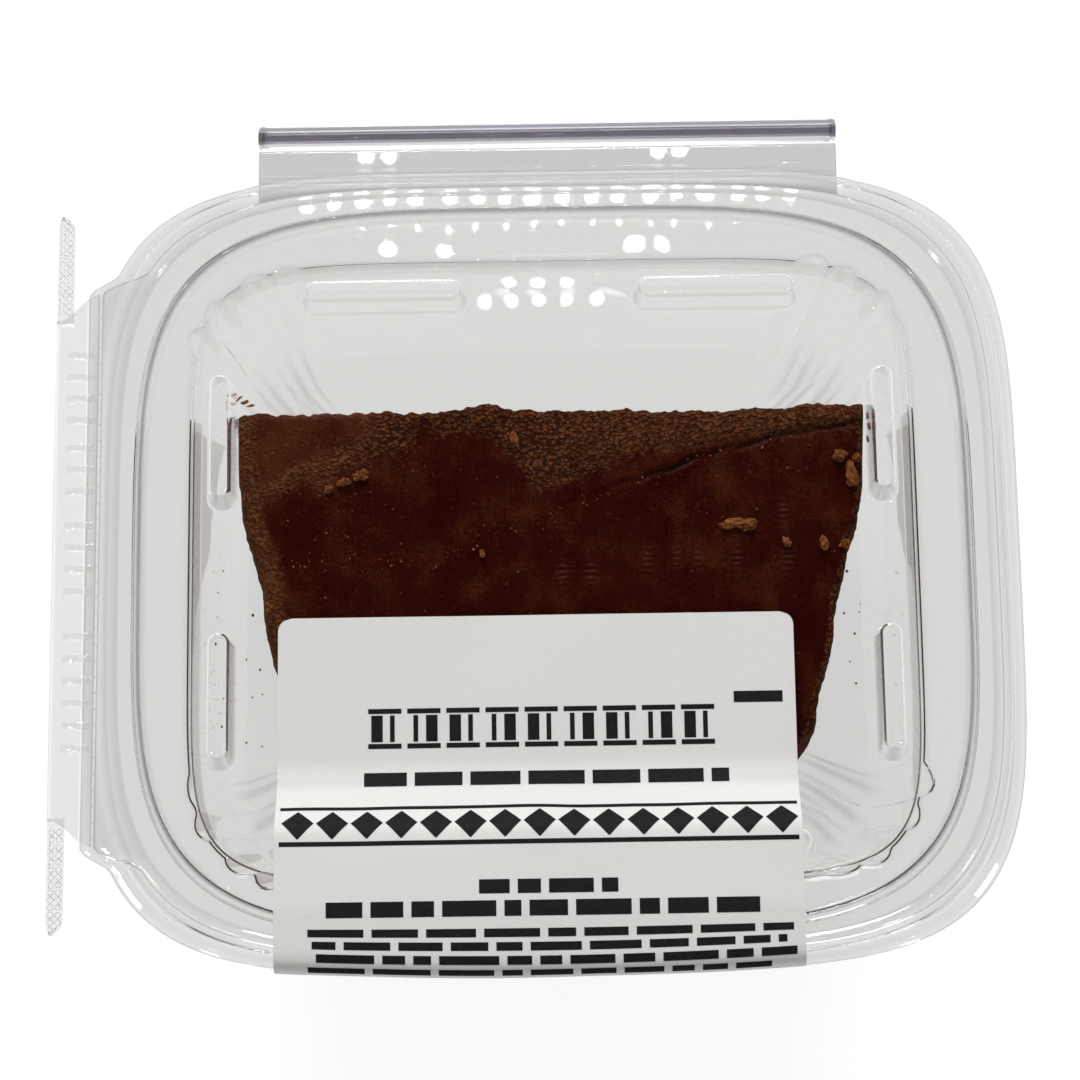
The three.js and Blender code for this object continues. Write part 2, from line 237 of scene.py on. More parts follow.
class Nodes:
    """A node tree and short ways to add to it."""

    def __init__(self, tree: bpy.types.NodeTree) -> None:
        """Take over a tree and empty it."""
        self.tree = tree
        self.tree.nodes.clear()

    def node(self, kind: str, **settings: object) -> bpy.types.Node:
        """Add a node.

        Args:
            kind: Its type.
            settings: Properties to set on it.

        Returns:
            The node.
        """
        made = self.tree.nodes.new(kind)
        for key, value in settings.items():
            setattr(made, key, value)
        return made

    def link(self, source: Socket, target: Socket) -> None:
        """Join two sockets."""
        self.tree.links.new(source, target)

    def ramp(self, value: Socket, stops: Sequence[tuple[float, float]]) -> Socket:
        """A grey ramp.

        Args:
            value: What it reads.
            stops: Places on it and their greys, from 0 to 1.

        Returns:
            The grey.
        """
        made = self.node("ShaderNodeValToRGB")
        elements = made.color_ramp.elements
        while len(elements) < len(stops):
            elements.new(0.5)
        for element, (position, grey) in zip(elements, stops):
            element.position = position
            element.color = (grey, grey, grey, 1.0)
        self.link(value, made.inputs["Fac"])
        return made.outputs["Color"]

    def fade(self, value: Socket, low: float, high: float) -> Socket:
        """A rise from 0 at low to 1 at high."""
        return self.ramp(value, [(low, 0.0), (high, 1.0)])

    def math(self, how: str, first: Socket | float, second: Socket | float) -> Socket:
        """Arithmetic on two sockets or numbers.

        Args:
            how: The operation's name.
            first: A socket or a number.
            second: The same.

        Returns:
            The result.
        """
        made = self.node("ShaderNodeMath", operation=how)
        for socket, value in zip(made.inputs, (first, second)):
            if isinstance(value, Socket):
                self.link(value, socket)
            else:
                socket.default_value = value
        return made.outputs[0]

    def times(self, value: Socket, factor: Socket | float) -> Socket:
        """A product."""
        return self.math("MULTIPLY", value, factor)

    def plus(self, value: Socket, more: Socket | float) -> Socket:
        """A sum."""
        return self.math("ADD", value, more)

    def swing(self, value: Socket, size: float) -> Socket:
        """A pattern made to swing about 0, so many times as far."""
        return self.times(self.math("SUBTRACT", value, 0.5), size)


class Shader(Nodes):
    """A new node material."""

    def __init__(self, name: str) -> None:
        """Start an empty node material."""
        self.material = bpy.data.materials.new(name)
        self.material.use_nodes = True
        super().__init__(self.material.node_tree)
        self.output = self.node("ShaderNodeOutputMaterial")

    def coordinates(self, scale: tuple[float, float, float] = (1, 1, 1)) -> Socket:
        """The object's coordinates.

        Args:
            scale: Factors along X, Y and Z, for a pattern that is longer one way.

        Returns:
            The place.
        """
        place = self.node("ShaderNodeTexCoord")
        mapping = self.node("ShaderNodeMapping")
        mapping.inputs["Scale"].default_value = scale
        self.link(place.outputs["Object"], mapping.inputs["Vector"])
        return mapping.outputs["Vector"]

    def noise(self, where: Socket, per_m: float, detail: float = 3.0, output: str = "Fac") -> Socket:
        """A noise pattern.

        Args:
            where: The place.
            per_m: Features to the metre.
            detail: How many finer layers it has.
            output: "Fac" for one value, "Color" for three.

        Returns:
            The pattern.
        """
        made = self.node("ShaderNodeTexNoise")
        made.inputs["Scale"].default_value = per_m
        made.inputs["Detail"].default_value = detail
        self.link(where, made.inputs["Vector"])
        return made.outputs[output]

    def clamp(self, value: Socket) -> Socket:
        """The value held between 0 and 1."""
        made = self.node("ShaderNodeClamp")
        self.link(value, made.inputs["Value"])
        return made.outputs[0]

    def attribute(self, name: str) -> Socket:
        """One of the mesh's own values."""
        return self.node("ShaderNodeAttribute", attribute_name=name).outputs["Fac"]

    def mix(self, share: Socket, first: Socket | Colour, second: Socket | Colour) -> Socket:
        """A mix of two colours.

        Args:
            share: How much of the second it takes, from 0 to 1.
            first: A socket or a colour.
            second: The same.

        Returns:
            The mixed colour.
        """
        made = self.node("ShaderNodeMix", data_type="RGBA")
        self.link(share, made.inputs["Factor"])
        for name, value in (("A", first), ("B", second)):
            socket = next(s for s in made.inputs if s.name == name and s.type == "RGBA")
            if isinstance(value, Socket):
                self.link(value, socket)
            else:
                socket.default_value = (*value, 1.0)
        return next(s for s in made.outputs if s.type == "RGBA")

    def bump(self, height: Socket, distance: float, strength: float = 1.0) -> Socket:
        """A bump.

        Args:
            height: The pattern.
            distance: Its height, in metres.
            strength: How much of it shows.

        Returns:
            The bent normal.
        """
        made = self.node("ShaderNodeBump")
        made.inputs["Strength"].default_value = strength
        made.inputs["Distance"].default_value = distance
        self.link(height, made.inputs["Height"])
        return made.outputs["Normal"]

    def surface(self, colour: Socket, roughness: float, gloss: float) -> bpy.types.Node:
        """The material's opaque surface.

        Args:
            colour: Its colour.
            roughness: Its roughness.
            gloss: Its specular level.

        Returns:
            The surface's node.
        """
        body = self.node("ShaderNodeBsdfPrincipled")
        self.link(colour, body.inputs["Base Color"])
        body.inputs["Roughness"].default_value = roughness
        body.inputs["Specular IOR Level"].default_value = gloss
        self.link(body.outputs[0], self.output.inputs["Surface"])
        return body


@dataclass(frozen=True)
class ClearFilm:
    """Thermoformed polyester film: clear, glossy and a little wavy.

    Painted shade: a grey value kept on the mesh darkens the tint where the real film looks dark, at its steps,
    rib ends and corners. Light that has met more than the longest number of walls is caught in the film, and
    goes straight on.
    """

    name: str = "clear_film"
    tint: Colour = (0.935, 0.935, 0.93)
    index: float = 1.34
    roughness: float = 0.015
    waves_per_m: float = 70.0
    wave_height: float = 0.00003
    wave_strength: float = 0.6
    shade: Colour = (0.984, 0.984, 0.984)
    # The tint of the painted shade, and whether the mesh's grey value paints it in.
    shade_tint: Colour = (0.30, 0.30, 0.31)
    paints_shade: bool = False
    longest: float = 5.5

    def make(self) -> bpy.types.Material:
        """Build the material.

        Lamps shine through the film, as they do through the real one, and light that is caught in it gets out.

        Returns:
            The material.
        """
        shader = Shader(self.name)
        glass = shader.node("ShaderNodeBsdfPrincipled")
        if self.paints_shade:
            # Painted shade: the mesh's grey value mixes the shade tint into the film's tint.
            drawn = shader.mix(shader.attribute("painted_shade"), self.tint, self.shade_tint)
            shader.link(drawn, glass.inputs["Base Color"])
        else:
            glass.inputs["Base Color"].default_value = (*self.tint, 1.0)
        glass.inputs["Roughness"].default_value = self.roughness
        glass.inputs["IOR"].default_value = self.index
        glass.inputs["Transmission Weight"].default_value = 1.0
        waves = shader.noise(shader.coordinates(), self.waves_per_m, 1.0)
        shader.link(shader.bump(waves, self.wave_height, self.wave_strength), glass.inputs["Normal"])
        through = shader.node("ShaderNodeBsdfTransparent")
        through.inputs["Color"].default_value = (*self.shade, 1.0)
        path = shader.node("ShaderNodeLightPath")
        swap = shader.node("ShaderNodeMixShader")
        lit = shader.math("MAXIMUM", path.outputs["Is Shadow Ray"], path.outputs["Is Diffuse Ray"])
        caught = shader.math("GREATER_THAN", path.outputs["Ray Depth"], self.longest)
        shader.link(shader.math("MAXIMUM", lit, caught), swap.inputs[0])
        shader.link(glass.outputs[0], swap.inputs[1])
        shader.link(through.outputs[0], swap.inputs[2])
        shader.link(swap.outputs[0], shader.output.inputs["Surface"])
        return shader.material


@dataclass(frozen=True)
class ChocolateFudge:
    """Dark fudge: a waxy cut face, a hazy skin and a porous crust, each where the mesh's own values say so,
    with painted shade in its pores and crack and painted highlights on its knife marks.
    """

    name: str = "chocolate_fudge"
    face: Colour = (0.0175, 0.0009, 0.0005)
    face_warm: Colour = (0.026, 0.0024, 0.0010)
    haze: Colour = (0.064, 0.0170, 0.0052)
    # Dark crust tone in the coarse patches, and painted shade in the pores between the scales.
    dark_crust_and_pore_shade: Colour = (0.018, 0.0054, 0.0024)
    rim: Colour = (0.150, 0.0500, 0.0190)
    # Painted shade in the crack.
    gap: Colour = (0.008, 0.0020, 0.0010)
    dust: Colour = (0.150, 0.0580, 0.0220)
    # Painted highlight where the knife marks catch the lamps.
    painted_glint: Colour = (0.16, 0.09, 0.06)
    pores_per_m: float = 1900.0
    knife_marks_per_m: float = 2300.0
    smooth_roughness: float = 0.3
    crust_roughness: float = 0.9

    def scales(self, shader: Shader, place: Socket) -> Socket:
        """The crust's raised scales.

        Args:
            shader: The material.
            place: Where it reads.

        Returns:
            1 on a scale and 0 in the pores between.
        """
        cells = shader.node("ShaderNodeTexVoronoi", feature="SMOOTH_F1")
        cells.inputs["Scale"].default_value = self.pores_per_m
        cells.inputs["Smoothness"].default_value = 0.3
        warped = shader.node("ShaderNodeVectorMath", operation="MULTIPLY_ADD")
        shader.link(shader.noise(place, 1300.0, 2.0, "Color"), warped.inputs[0])
        warped.inputs[1].default_value = (0.0006, 0.0004, 0.0006)
        shader.link(shader.coordinates((0.8, 1.0, 1.0)), warped.inputs[2])
        shader.link(warped.outputs[0], cells.inputs["Vector"])
        return shader.ramp(cells.outputs["Distance"], [(0.3, 1.0), (0.66, 0.0)])

    def cut_face(self, shader: Shader, place: Socket, hazy: Socket, fine: Socket) -> Socket:
        """The cut face's colour, with its haze in soft grains.

        Args:
            shader: The material.
            place: Where it reads.
            hazy: How hazy the mesh is.
            fine: The finest grain.

        Returns:
            The colour.
        """
        patches = shader.fade(shader.noise(place, 80.0, 5.0), 0.36, 0.68)
        strokes = shader.noise(shader.coordinates((1.0, 0.07, 1.0)), 2600.0, 2.0)
        scratches = shader.fade(strokes, 0.5, 0.8)
        face = shader.mix(patches, self.face, self.face_warm)
        face = shader.mix(shader.times(scratches, 0.14), face, self.haze)
        grit = shader.plus(hazy, shader.swing(fine, 1.5))
        grit = shader.plus(grit, shader.swing(shader.noise(place, 170.0, 6.0), 2.2))
        return shader.mix(shader.times(shader.clamp(grit), 0.85), face, self.haze)

    def crust(self, shader: Shader, hazy: Socket, scales: Socket, lumps: Socket, grains: Socket) -> Socket:
        """The crust's colour: pale scales, dark pores with painted shade between the scales, and dust.

        Args:
            shader: The material.
            hazy: How hazy the mesh is.
            scales: The raised scales.
            lumps: Coarse patches.
            grains: Fine ones.

        Returns:
            The colour.
        """
        light = shader.mix(lumps, self.dark_crust_and_pore_shade, self.rim)
        light = shader.mix(shader.times(grains, 0.55), light, self.rim)
        crust = shader.mix(shader.plus(shader.times(scales, 0.88), 0.08), self.dark_crust_and_pore_shade, light)
        return shader.mix(shader.times(shader.times(hazy, grains), 0.8), crust, self.dust)

    def knife_marks(self, shader: Shader, place: Socket) -> Socket:
        """Fine bands across the cut face, which take a painted highlight.

        Args:
            shader: The material.
            place: Where it reads.

        Returns:
            1 on the crest of a band.
        """
        wave = shader.node("ShaderNodeTexWave", wave_type="BANDS", bands_direction="Y")
        wave.inputs["Scale"].default_value = self.knife_marks_per_m / 6.5
        wave.inputs["Distortion"].default_value = 1.5
        wave.inputs["Detail"].default_value = 1.0
        shader.link(place, wave.inputs["Vector"])
        return shader.fade(wave.outputs["Fac"], 0.55, 0.95)

    def make(self) -> bpy.types.Material:
        """Build the material from the mesh's values, with painted highlights on the knife marks and painted
        shade in the crack.

        Returns:
            The material.
        """
        shader = Shader(self.name)
        place = shader.coordinates()
        porous, hazy, painted_glint_mask, crack = (shader.attribute(name) for name in FudgeSlab.VALUES)
        fine = shader.noise(place, 2600.0, 5.0)
        lumps = shader.fade(shader.noise(place, 380.0, 4.0), 0.3, 0.7)
        grains = shader.fade(shader.noise(place, 1500.0, 4.0), 0.32, 0.68)
        scales = self.scales(shader, place)
        edge = shader.plus(shader.plus(porous, shader.swing(lumps, 0.3)), shader.swing(grains, 0.5))
        share = shader.fade(edge, 0.22, 0.85)
        face = self.cut_face(shader, place, hazy, fine)
        colour = shader.mix(share, face, self.crust(shader, hazy, scales, lumps, grains))
        # Painted shade along the crack.
        colour = shader.mix(shader.times(crack, 0.95), colour, self.gap)
        # Painted highlight: the knife marks' bands at a few spots.
        painted_glint = shader.times(painted_glint_mask, self.knife_marks(shader, place))
        colour = shader.mix(shader.times(painted_glint, 0.2), colour, self.painted_glint)
        body = shader.surface(colour, self.smooth_roughness, 0.02)
        rough = shader.node("ShaderNodeMapRange")
        rough.inputs["To Min"].default_value = self.smooth_roughness
        rough.inputs["To Max"].default_value = self.crust_roughness
        shader.link(share, rough.inputs["Value"])
        shader.link(rough.outputs[0], body.inputs["Roughness"])
        height = shader.plus(shader.times(scales, share), shader.times(fine, 0.3))
        shader.link(shader.bump(height, 0.0004, 0.9), body.inputs["Normal"])
        return shader.material


@dataclass(frozen=True)
class LabelPaper:
    """White label paper with a fine tooth."""

    name: str = "label_paper"
    colour: Colour = (0.585, 0.58, 0.57)
    fibre: Colour = (0.53, 0.525, 0.515)

    def make(self) -> bpy.types.Material:
        """Build the material.

        Returns:
            The material.
        """
        shader = Shader(self.name)
        fibres = shader.noise(shader.coordinates((1, 2.2, 1)), 900.0, 4.0)
        clouds = shader.noise(shader.coordinates(), 45.0, 3.0)
        both = shader.plus(shader.times(fibres, 0.4), shader.times(clouds, 0.6))
        body = shader.surface(shader.mix(both, self.colour, self.fibre), 0.6, 0.3)
        shader.link(shader.bump(fibres, 0.00004, 0.6), body.inputs["Normal"])
        return shader.material


@dataclass(frozen=True)
class PrintInk:
    """Black label print, slightly uneven."""

    name: str = "print_ink"
    colour: Colour = (0.003, 0.003, 0.0035)
    worn: Colour = (0.012, 0.012, 0.012)

    def make(self) -> bpy.types.Material:
        """Build the material.

        Returns:
            The material.
        """
        shader = Shader(self.name)
        wear = shader.noise(shader.coordinates(), 1600.0, 3.0)
        shader.surface(shader.mix(wear, self.colour, self.worn), 0.6, 0.06)
        return shader.material


@dataclass(frozen=True)
class FudgeCrumb:
    """Loose crumbs, dry and paler than the slab."""

    name: str = "fudge_crumb"
    dark: Colour = (0.065, 0.018, 0.0045)
    pale: Colour = (0.21, 0.072, 0.020)

    def make(self) -> bpy.types.Material:
        """Build the material.

        Returns:
            The material.
        """
        shader = Shader(self.name)
        grains = shader.noise(shader.coordinates(), 1500.0, 4.0)
        colour = shader.mix(shader.fade(grains, 0.35, 0.65), self.dark, self.pale)
        body = shader.surface(colour, 0.8, 0.08)
        shader.link(shader.bump(grains, 0.0003, 0.8), body.inputs["Normal"])
        return shader.material


# ---- outlines of the pack ---------------------------------------------------------------------------


@dataclass(frozen=True)
class Ring:
    """One level of the pack: a superellipse of half sizes a and b and squareness n.

    bead is how far it stands up where the bead runs, flute how far its corners swell, shelf how much of the
    widening at the tear strip it takes, drop how far it turns down away from the hinge, stretch how much
    painted shade greys the film there, and crease how much painted shade greys it along the streak lines of its
    corners.
    """

    a: float
    b: float
    n: float
    z: float
    bead: float = 0.0
    flute: float = 0.0
    shelf: float = 0.0
    drop: float = 0.0
    painted_shade: float = 0.0
    crease: float = 0.0

    def towards(self, other: Ring, share: float) -> Ring:
        """The ring part of the way to another.

        Args:
            other: The ring at the far end.
            share: How much of the way.

        Returns:
            The ring between.
        """
        ends = [(getattr(self, item.name), getattr(other, item.name)) for item in fields(self)]
        return Ring(*(here + (there - here) * share for here, there in ends))

    def reach(self, angle: float) -> Vector:
        """The bare superellipse in a direction, before beads, flutes and shelves.

        Args:
            angle: The direction from the middle.

        Returns:
            The point.
        """
        c = abs(math.cos(angle)) / self.a
        s = abs(math.sin(angle)) / self.b
        rho = (c**self.n + s**self.n) ** (-1 / self.n)
        return Vector((rho * math.cos(angle), rho * math.sin(angle), self.z))


@dataclass(frozen=True)
class PackOutline:
    """How every ring of the pack is drawn: its steps, corner flutes, bead and the shelf at the strip.

    A lobe of the flutes is a place in degrees round the fan's point, half its width in degrees, and its height
    at two of the corners and at the other two. A streak of painted shade is a place and a width in degrees.
    """

    steps: int = 425
    half_size: tuple[float, float] = (68.7, 61.0)
    crowding: float = 0.6
    fan: tuple[float, float] = (22.0, 22.0)
    fan_shift: float = 1.4
    lobes: tuple[tuple[float, float, float, float], ...] = (
        (21.6, 4.1, 1.75, 0.55),
        (31.2, 3.3, 0.95, 0.95),
        (44.2, 3.5, 0.95, 0.95),
        (53.0, 4.1, 0.55, 1.75),
    )
    streak_fan: tuple[float, float] = (28.0, 18.0)
    streaks: tuple[tuple[float, float], ...] = (
        (29.0, 0.7),
        (33.5, 1.5),
        (41.0, 0.8),
        (45.5, 1.7),
        (52.0, 0.7),
        (57.0, 1.4),
        (63.0, 0.8),
    )
    strip_half: float = 42.0
    strip_ogee: float = 3.6
    bead_break: float = 43.2
    hinge_half: float = 43.65
    rear: float = 45.0
    bead_left: float = 0.03
    fixed_rings: tuple[Ring, ...] = ()

    def angles(self) -> list[float]:
        """Directions round the pack, close at its corners, with some that meet the hinge's ends exactly.

        Returns:
            The directions, by rising angle.
        """
        wide, deep = self.half_size
        found = []
        for step in range(self.steps):
            t = 2 * math.pi * step / self.steps
            c, s = math.cos(t), math.sin(t)
            x = math.copysign(abs(c) ** self.crowding, c)
            y = math.copysign(abs(s) ** self.crowding, s)
            found.append(math.atan2(deep * y, wide * x) % (2 * math.pi))
        for ring in self.fixed_rings:
            for side in (-1, 1):
                found.append(self.meeting(ring, side))
        found.sort()
        return [a for a, b in zip(found, found[1:] + [found[0] + 2 * math.pi]) if b - a > 1e-4]

    def meeting(self, ring: Ring, side: int) -> float:
        """The direction in which a ring passes one of the hinge's ends.

        Args:
            ring: The ring.
            side: 1 for the right end and -1 for the left.

        Returns:
            The direction.
        """
        low, high = math.radians(20), math.radians(90)
        for _ in range(50):
            middle = (low + high) / 2
            if ring.reach(middle).x > self.hinge_half:
                low = middle
            else:
                high = middle
        return low if side > 0 else math.pi - low

    def turn(self, place: Vector, fan: tuple[float, float]) -> float:
        """Where a place lies round a fan's point inside its corner.

        Args:
            place: The place.
            fan: The point, on each side of the middle.

        Returns:
            The turn from the X axis in degrees, or -1 outside the corner.
        """
        x, y = abs(place.x) - fan[0], abs(place.y - self.fan_shift) - fan[1]
        return math.degrees(math.atan2(y, x)) if x > 0 and y > 0 else -1.0

    def flute(self, place: Vector) -> float:
        """How much a corner swells at a place, as a fan of lobes.

        Args:
            place: The place.

        Returns:
            The swelling in millimetres.
        """
        turn = self.turn(place, self.fan)
        swell = 0.0
        if turn < 0:
            return swell
        for at, width, size, other in self.lobes:
            across = (turn - at) / width
            height = other if place.x * place.y > 0 else size
            swell += height * (1 - across * across) ** 0.9 if abs(across) < 1 else 0.0
        return swell

    def crease(self, place: Vector) -> float:
        """How near a place is to one of the painted shade streak lines that run in from a corner's lobes.

        Args:
            place: The place.

        Returns:
            From 0 to 1.
        """
        turn = self.turn(place, self.streak_fan)
        return max(peak(turn - at, width) for at, width in self.streaks) if turn > 0 else 0.0

    def bead_keeps(self, place: Vector) -> float:
        """How much of the bead stands, between its breaks at the tear strip and the hinge.

        Args:
            place: The place.

        Returns:
            1 where it runs, 0 in a break.
        """
        strip = smoothstep(self.bead_break, self.bead_break + 1.0, abs(place.y)) if place.x < -50 else 1.0
        return strip * (self.bead_left + (1 - self.bead_left) * self.beside_hinge(place, 0.3, 3.2))

    def beside_hinge(self, place: Vector, near: float, far: float) -> float:
        """How far a place is past the hinge's ends.

        Args:
            place: The place.
            near: The distance past an end where the rise starts.
            far: The distance where it ends.

        Returns:
            0 at the hinge, 1 away from it.
        """
        if place.y <= self.rear:
            return 1.0
        return smoothstep(self.hinge_half + near, self.hinge_half + far, abs(place.x))

    def shelf(self, place: Vector, edge: float) -> float:
        """Where the edge runs at the tear strip: straight along it, with an S-shaped end.

        Args:
            place: A place on the round edge.
            edge: The straight edge's place along X.

        Returns:
            The edge's place along X.
        """
        if place.x > 0:
            return place.x
        share = 1 - smoothstep(self.strip_half, self.strip_half + self.strip_ogee, abs(place.y))
        return place.x + (min(edge, place.x) - place.x) * share

    def point(self, ring: Ring, angle: float, edge: float = 0.0) -> Vector:
        """A finished point of a ring.

        Args:
            ring: The ring.
            angle: The direction from the middle.
            edge: Where the straight edge at the tear strip runs.

        Returns:
            The point.
        """
        place = ring.reach(angle)
        out = Vector((math.cos(angle), math.sin(angle), 0))
        if ring.flute:
            place += out * ring.flute * self.flute(place)
        if ring.shelf:
            target = self.shelf(place, edge)
            place.x += (target - place.x) * ring.shelf
        place.z += ring.bead * self.bead_keeps(place)
        if ring.drop:
            place.z -= ring.drop * self.beside_hinge(place, -0.1, 2.6)
        return place


def rounded(rings: Sequence[Ring], radii: Sequence[float], steps: int = 6) -> list[Ring]:
    """Ease the corners of a profile.

    Args:
        rings: The profile's corners.
        radii: How far before and after each corner its curve starts.
        steps: Steps of each curve.

    Returns:
        The rings of the eased profile.
    """
    longest = 0.48
    made = [rings[0]]
    for before, ring, after, radius in zip(rings, rings[1:], rings[2:], radii[1:]):
        if radius <= 0:
            made.append(ring)
            continue
        back = math.hypot(before.a - ring.a, before.z - ring.z)
        on = math.hypot(after.a - ring.a, after.z - ring.z)
        start = ring.towards(before, min(radius / back, longest))
        end = ring.towards(after, min(radius / on, longest))
        for step in range(steps + 1):
            t = step / steps
            made.append(start.towards(ring, t).towards(ring.towards(end, t), t))
    made.append(rings[-1])
    return made


class Loft:
    """A sheet drawn out ring by ring from a first loop of edges."""

    # Painted shade in the film's tint: the grey over the hinge leaves, where lid and tub lie over each other,
    # and the grey of the streak lines in the corners.
    LEAF_SHADE = 0.13
    STREAK_SHADE = 0.6
    HALF_SLACK = 0.05

    def __init__(self, outline: PackOutline, edge: float, capped: bool, first: Ring) -> None:
        """Start with the innermost ring.

        Args:
            outline: How rings are drawn.
            edge: Where the straight edge at the tear strip runs.
            capped: Whether a face closes the first ring.
            first: The first ring.
        """
        self.outline = outline
        self.edge = edge
        self.angles = outline.angles()
        self.bm = bmesh.new()
        self.bm.verts.layers.int.new("turn")
        # The grey value that the film paints as shade.
        self.bm.verts.layers.float.new("painted_shade")
        self.turn = self.bm.verts.layers.int["turn"]
        self.painted_shade = self.bm.verts.layers.float["painted_shade"]
        verts = Workshop.ring(self.bm, len(self.angles), self.turn, capped)
        self.edges = list(self.bm.edges)
        self.first_edges = list(self.edges)
        self.place(verts, first)

    def place(self, verts: Iterable[BMVert], ring: Ring) -> None:
        """Put a loop of vertices on a ring.

        Args:
            verts: The loop.
            ring: The ring.
        """
        for vert in verts:
            vert.co = self.outline.point(ring, self.angles[vert[self.turn]], self.edge)
            # Painted shade: each ring's own grey, and more along the streak lines of its corners.
            vert[self.painted_shade] = ring.painted_shade
            if ring.crease:
                vert[self.painted_shade] += self.STREAK_SHADE * ring.crease * self.outline.crease(vert.co)

    def draw(self, ring: Ring) -> None:
        """Extrude the last loop and put the new one on a ring."""
        verts, self.edges = Workshop.extrude(self.bm, self.edges)
        self.place(verts, ring)

    def leaf(self, half: float, rows: Sequence[tuple[float, float]]) -> list[BMEdge]:
        """Draw a straight leaf out of the rear of the last loop.

        Args:
            half: Half the leaf's length.
            rows: The place along Y and the height of each row of the leaf.

        Returns:
            The edges of its last row.
        """
        reach = half + self.HALF_SLACK
        start = self.outline.rear
        edges = [e for e in self.edges if all(v.co.y > start and abs(v.co.x) < reach for v in e.verts)]
        for y, z in rows:
            verts, edges = Workshop.extrude(self.bm, edges)
            for vert in verts:
                vert.co.y = y
                vert.co.z = z
                # Painted shade over the whole leaf.
                vert[self.painted_shade] = self.LEAF_SHADE
        return edges


# ---- tub --------------------------------------------------------------------------------------------


@dataclass
class Tub:
    """The lower half of the pack."""

    film: bpy.types.Material
    wall: float = 0.26
    floor: float = 0.45
    ledge: float = 34.7
    flange: float = 37.2
    bead: float = 1.75
    lower_edge: float = -69.1
    leaf_end: float = 64.8

    def rings(self) -> list[Ring]:
        """The inside of the tub and the top of its rim.

        Returns:
            The rings, from the floor outwards.
        """
        f, g = self.floor, self.flange
        # The grey values on these rings are painted shade: grey lines at the mouth, the neck, the bead and the
        # lip, and grey streak lines down the fluted corners.
        corners = [
            Ring(30.0, 24.0, 3.2, f + 0.35),
            Ring(34.6, 28.0, 3.3, f + 0.35),
            Ring(35.6, 28.9, 3.3, f),
            Ring(38.2, 31.4, 3.4, f),
            Ring(43.4, 36.6, 3.9, 4.9, flute=0.7, crease=0.7),
            Ring(48.6, 41.8, 4.4, 9.4, flute=1.1, crease=0.5),
            Ring(50.4, 43.7, 5.0, 15.0, flute=1.0),
            Ring(53.65, 47.25, 6.5, self.ledge - 2.4, flute=1.0),
            Ring(54.0, 47.6, 6.6, self.ledge - 0.5, flute=1.0, painted_shade=0.2),
            Ring(55.2, 48.9, 6.4, self.ledge, flute=0.35),
            Ring(61.45, 55.05, 4.1, self.ledge),
            Ring(61.95, 55.55, 4.1, self.ledge + 0.9, painted_shade=0.06),
            Ring(61.8, 55.4, 4.1, self.ledge + 1.8, painted_shade=0.06),
            Ring(62.1, 55.7, 4.1, g),
            Ring(65.5, 58.45, 4.5, g),
            Ring(65.9, 58.8, 4.5, g, painted_shade=0.22),
            Ring(66.35, 59.2, 4.6, g, bead=self.bead, painted_shade=0.05),
            Ring(67.0, 59.75, 4.6, g, bead=self.bead),
            Ring(67.5, 60.15, 4.6, g, shelf=0.2, painted_shade=0.22),
            Ring(68.3, 60.65, 4.7, g, shelf=0.8),
            Ring(68.6, 60.92, 4.7, g, shelf=0.95, drop=0.06, painted_shade=0.05),
            Ring(68.75, 61.05, 4.7, g, shelf=1.0, drop=0.25, painted_shade=0.3),
        ]
        radii = [0, 1.4, 0.5, 1.6, 0, 2.4, 2.0, 0, 0.35, 0.5, 0.5]
        radii += [0.3, 0.3, 0.5, 0, 0.25, 0.3, 0.3, 0.35, 0, 0, 0]
        return rounded(corners, radii)

    def build(self, outline: PackOutline) -> None:
        """Make the tub's film.

        Args:
            outline: How its rings are drawn.
        """
        rings = self.rings()
        loft = Loft(outline, self.lower_edge, True, rings[0])
        for ring in rings[1:]:
            loft.draw(ring)
        rows = (61.3, 61.7, 62.0, 63.4, 64.3, self.leaf_end)
        loft.leaf(outline.hinge_half, [(y, self.flange) for y in rows])
        Workshop.face_up(loft.bm)
        item = Workshop.piece("tub_film", loft.bm, self.film, Body.BASE, Slot.FILM, ["tub"], soft_rim=True)
        Workshop.thicken(item, self.wall)


# ---- lid --------------------------------------------------------------------------------------------


